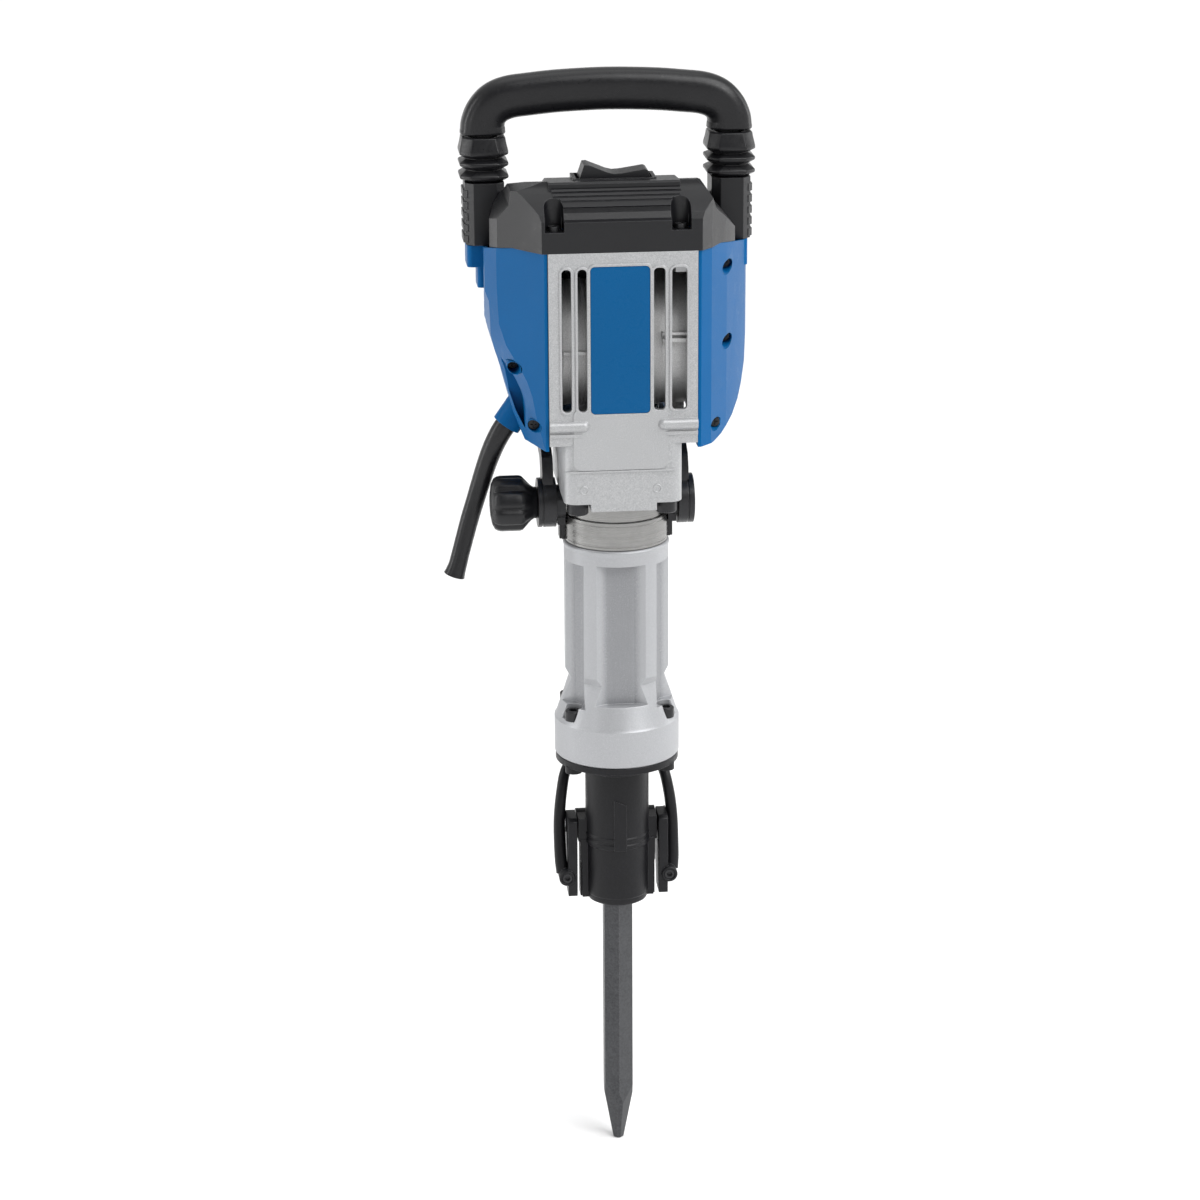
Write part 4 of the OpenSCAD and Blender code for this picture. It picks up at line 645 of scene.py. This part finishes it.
# ------------------------------------------------------------------ turned collar with shallow tool grooves
def make_collar():
    b = np.array(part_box("steel_collar")) * 1000
    R, z0, z1 = b[1][0], b[0][2], b[1][2]
    prof = [(34.3, z0), (R - 0.9, z0), (R, z0 + 0.9)]
    for z in (z0 + 3.2, 401.6): prof += [(R, z), (R - 0.18, z + 0.2), (R - 0.18, z + 0.6), (R, z + 0.8)]
    prof += [(R, 405.2), (R - 0.8, 406), (48, 406.4), (48, 424.6), (34.3, 424.6)]
    n = 120; rings = [[V(r * math.cos(2 * math.pi * j / n), r * math.sin(2 * math.pi * j / n), h) for j in range(n)] for r, h in prof]
    bm = bmesh.new(); add_rings(bm, rings, loop=True)
    o = finish_bm(bm, "collar_turned", M["turned_steel"], body_of["steel_collar"], 30)
    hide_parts("steel_collar")
make_collar()

# ------------------------------------------------------------------ handle springs: squeeze between the post floor and the core bar
def make_springs():
    bm = bmesh.new()
    k, w, r, z0, z1 = 150, 1.2, 12.4, 663.6, 699.8
    for s in (-1, 1):
        rings = []
        for i in range(k + 1):
            a = 2 * math.pi * 5 * i / k; z = z0 + w + (z1 - z0 - 2 * w) * i / k
            p = V(s * LEG_X + r * math.cos(a), LEG_Y + r * math.sin(a), z)
            rings.append([p + V(math.cos(a) * w * math.cos(q), math.sin(a) * w * math.cos(q), w * math.sin(q)) for q in [2 * math.pi * j / 12 for j in range(12)]])
        add_rings(bm, rings)
    o = finish_bm(bm, "handle_springs_detail", M["spring_steel"], None, 50)
    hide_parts("handle_springs")
    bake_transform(o)
make_springs()

# ------------------------------------------------------------------ moulded pockets round the shell screws, closed behind the heads
def shell_front(x):
    pts = [(70.8, -73), (73.8, -73), (85.5, -58), (114.7, -22), (124, 8)] if x < 0 else [(70.8, -73), (73.8, -73), (85, -61), (104.5, -24), (122, 22)]
    x = abs(x)
    for (x0, y0), (x1, y1) in zip(pts, pts[1:]):
        if x <= x1: return y0 + (y1 - y0) * max(0, x - x0) / (x1 - x0)
    return 8
def make_cups():
    bm = bmesh.new(); n = 40
    for cx, cz, R, yb in ((105.6, 648.5, 7, 1.4 + 2.6), (105.6, 576, 7, 4.0), (91, 502, 6.4, -38), (-100.5, 559.5, 6.4, -14), (-83.5, 507.5, 6.4, -48)):
        def ring(r, y, front=0.0):
            out = []
            for j in range(n):
                q = 2 * math.pi * j / n; x, z = cx + r * math.cos(q), cz + r * math.sin(q)
                out.append(V(x, shell_front(x) + front if front else y, z))
            return out
        add_rings(bm, [ring(2.7, yb + 0.1), ring(2.7, yb + 0.9), ring(R - 0.08, yb + 0.9), ring(R - 0.08, 0, 2.2), ring(R - 0.5, 0, 2.0), ring(R - 0.75, 0, 3.4), ring(R - 0.75, yb + 0.1)], loop=True)
    finish_bm(bm, "shell_screw_pockets", M["blue_shell"], "housing", 40)
make_cups()

# ------------------------------------------------------------------ ribs that close the housing's cavity behind the outer slots
def make_ribs():
    bm = bmesh.new()
    for lo, hi in ((54.5, 66.3), (-66.3, -54.5)):
        add_prism(bm, round_poly([(-3.4, 495.2), (-2.2, 495.2), (-2.2, 517), (-3.4, 517)], 0.3, 2), 'X', lo, hi)
    finish_bm(bm, "cavity_ribs", M["inner_cast"], "housing", 40)
make_ribs()

VISIBLE_REFINE = {
    "top_cap": 0.9, "left_shell": 1.0, "right_shell": 1.0, "front_housing": 0.8, "badge_plate": 0.3,
    "handle_post_left": 0.6, "handle_post_right": 0.6, "rocker_switch": 0.8, "barrel": 0.8,
    "front_cover": 0.7, "chisel": 0.5, "aux_frame": 0.6, "handle_clamp": 0.5,
    "flange_bolts": 0.3, "housing_bolts": 0.3, "cap_screws": 0.25, "shell_screws": 0.25, "retainer_screws": 0.25,
    "crankcase": 0.8, "crankcase_cover": 0.6, "gear_cover": 0.8, "handle_core": 0.4, "clamp_bolt": 0.5, "cord_gland": 0.5,
    "nose_gasket": 0.3, "switch_box": 0.5, "retainer_shaft": 0.4,
}
CREASED = {"top_cap": (12, 14), "left_shell": (12, 9), "right_shell": (12, 9), "handle_post_left": (14, 16), "handle_post_right": (14, 16), "barrel": (16, 16), "chisel": (12, 12), "front_housing": (18, 20)}
for n, w in VISIBLE_REFINE.items():
    b_ang, s_ang = CREASED.get(n, (30, 35))
    refine(n, w, ang=b_ang, smooth_ang=s_ang)
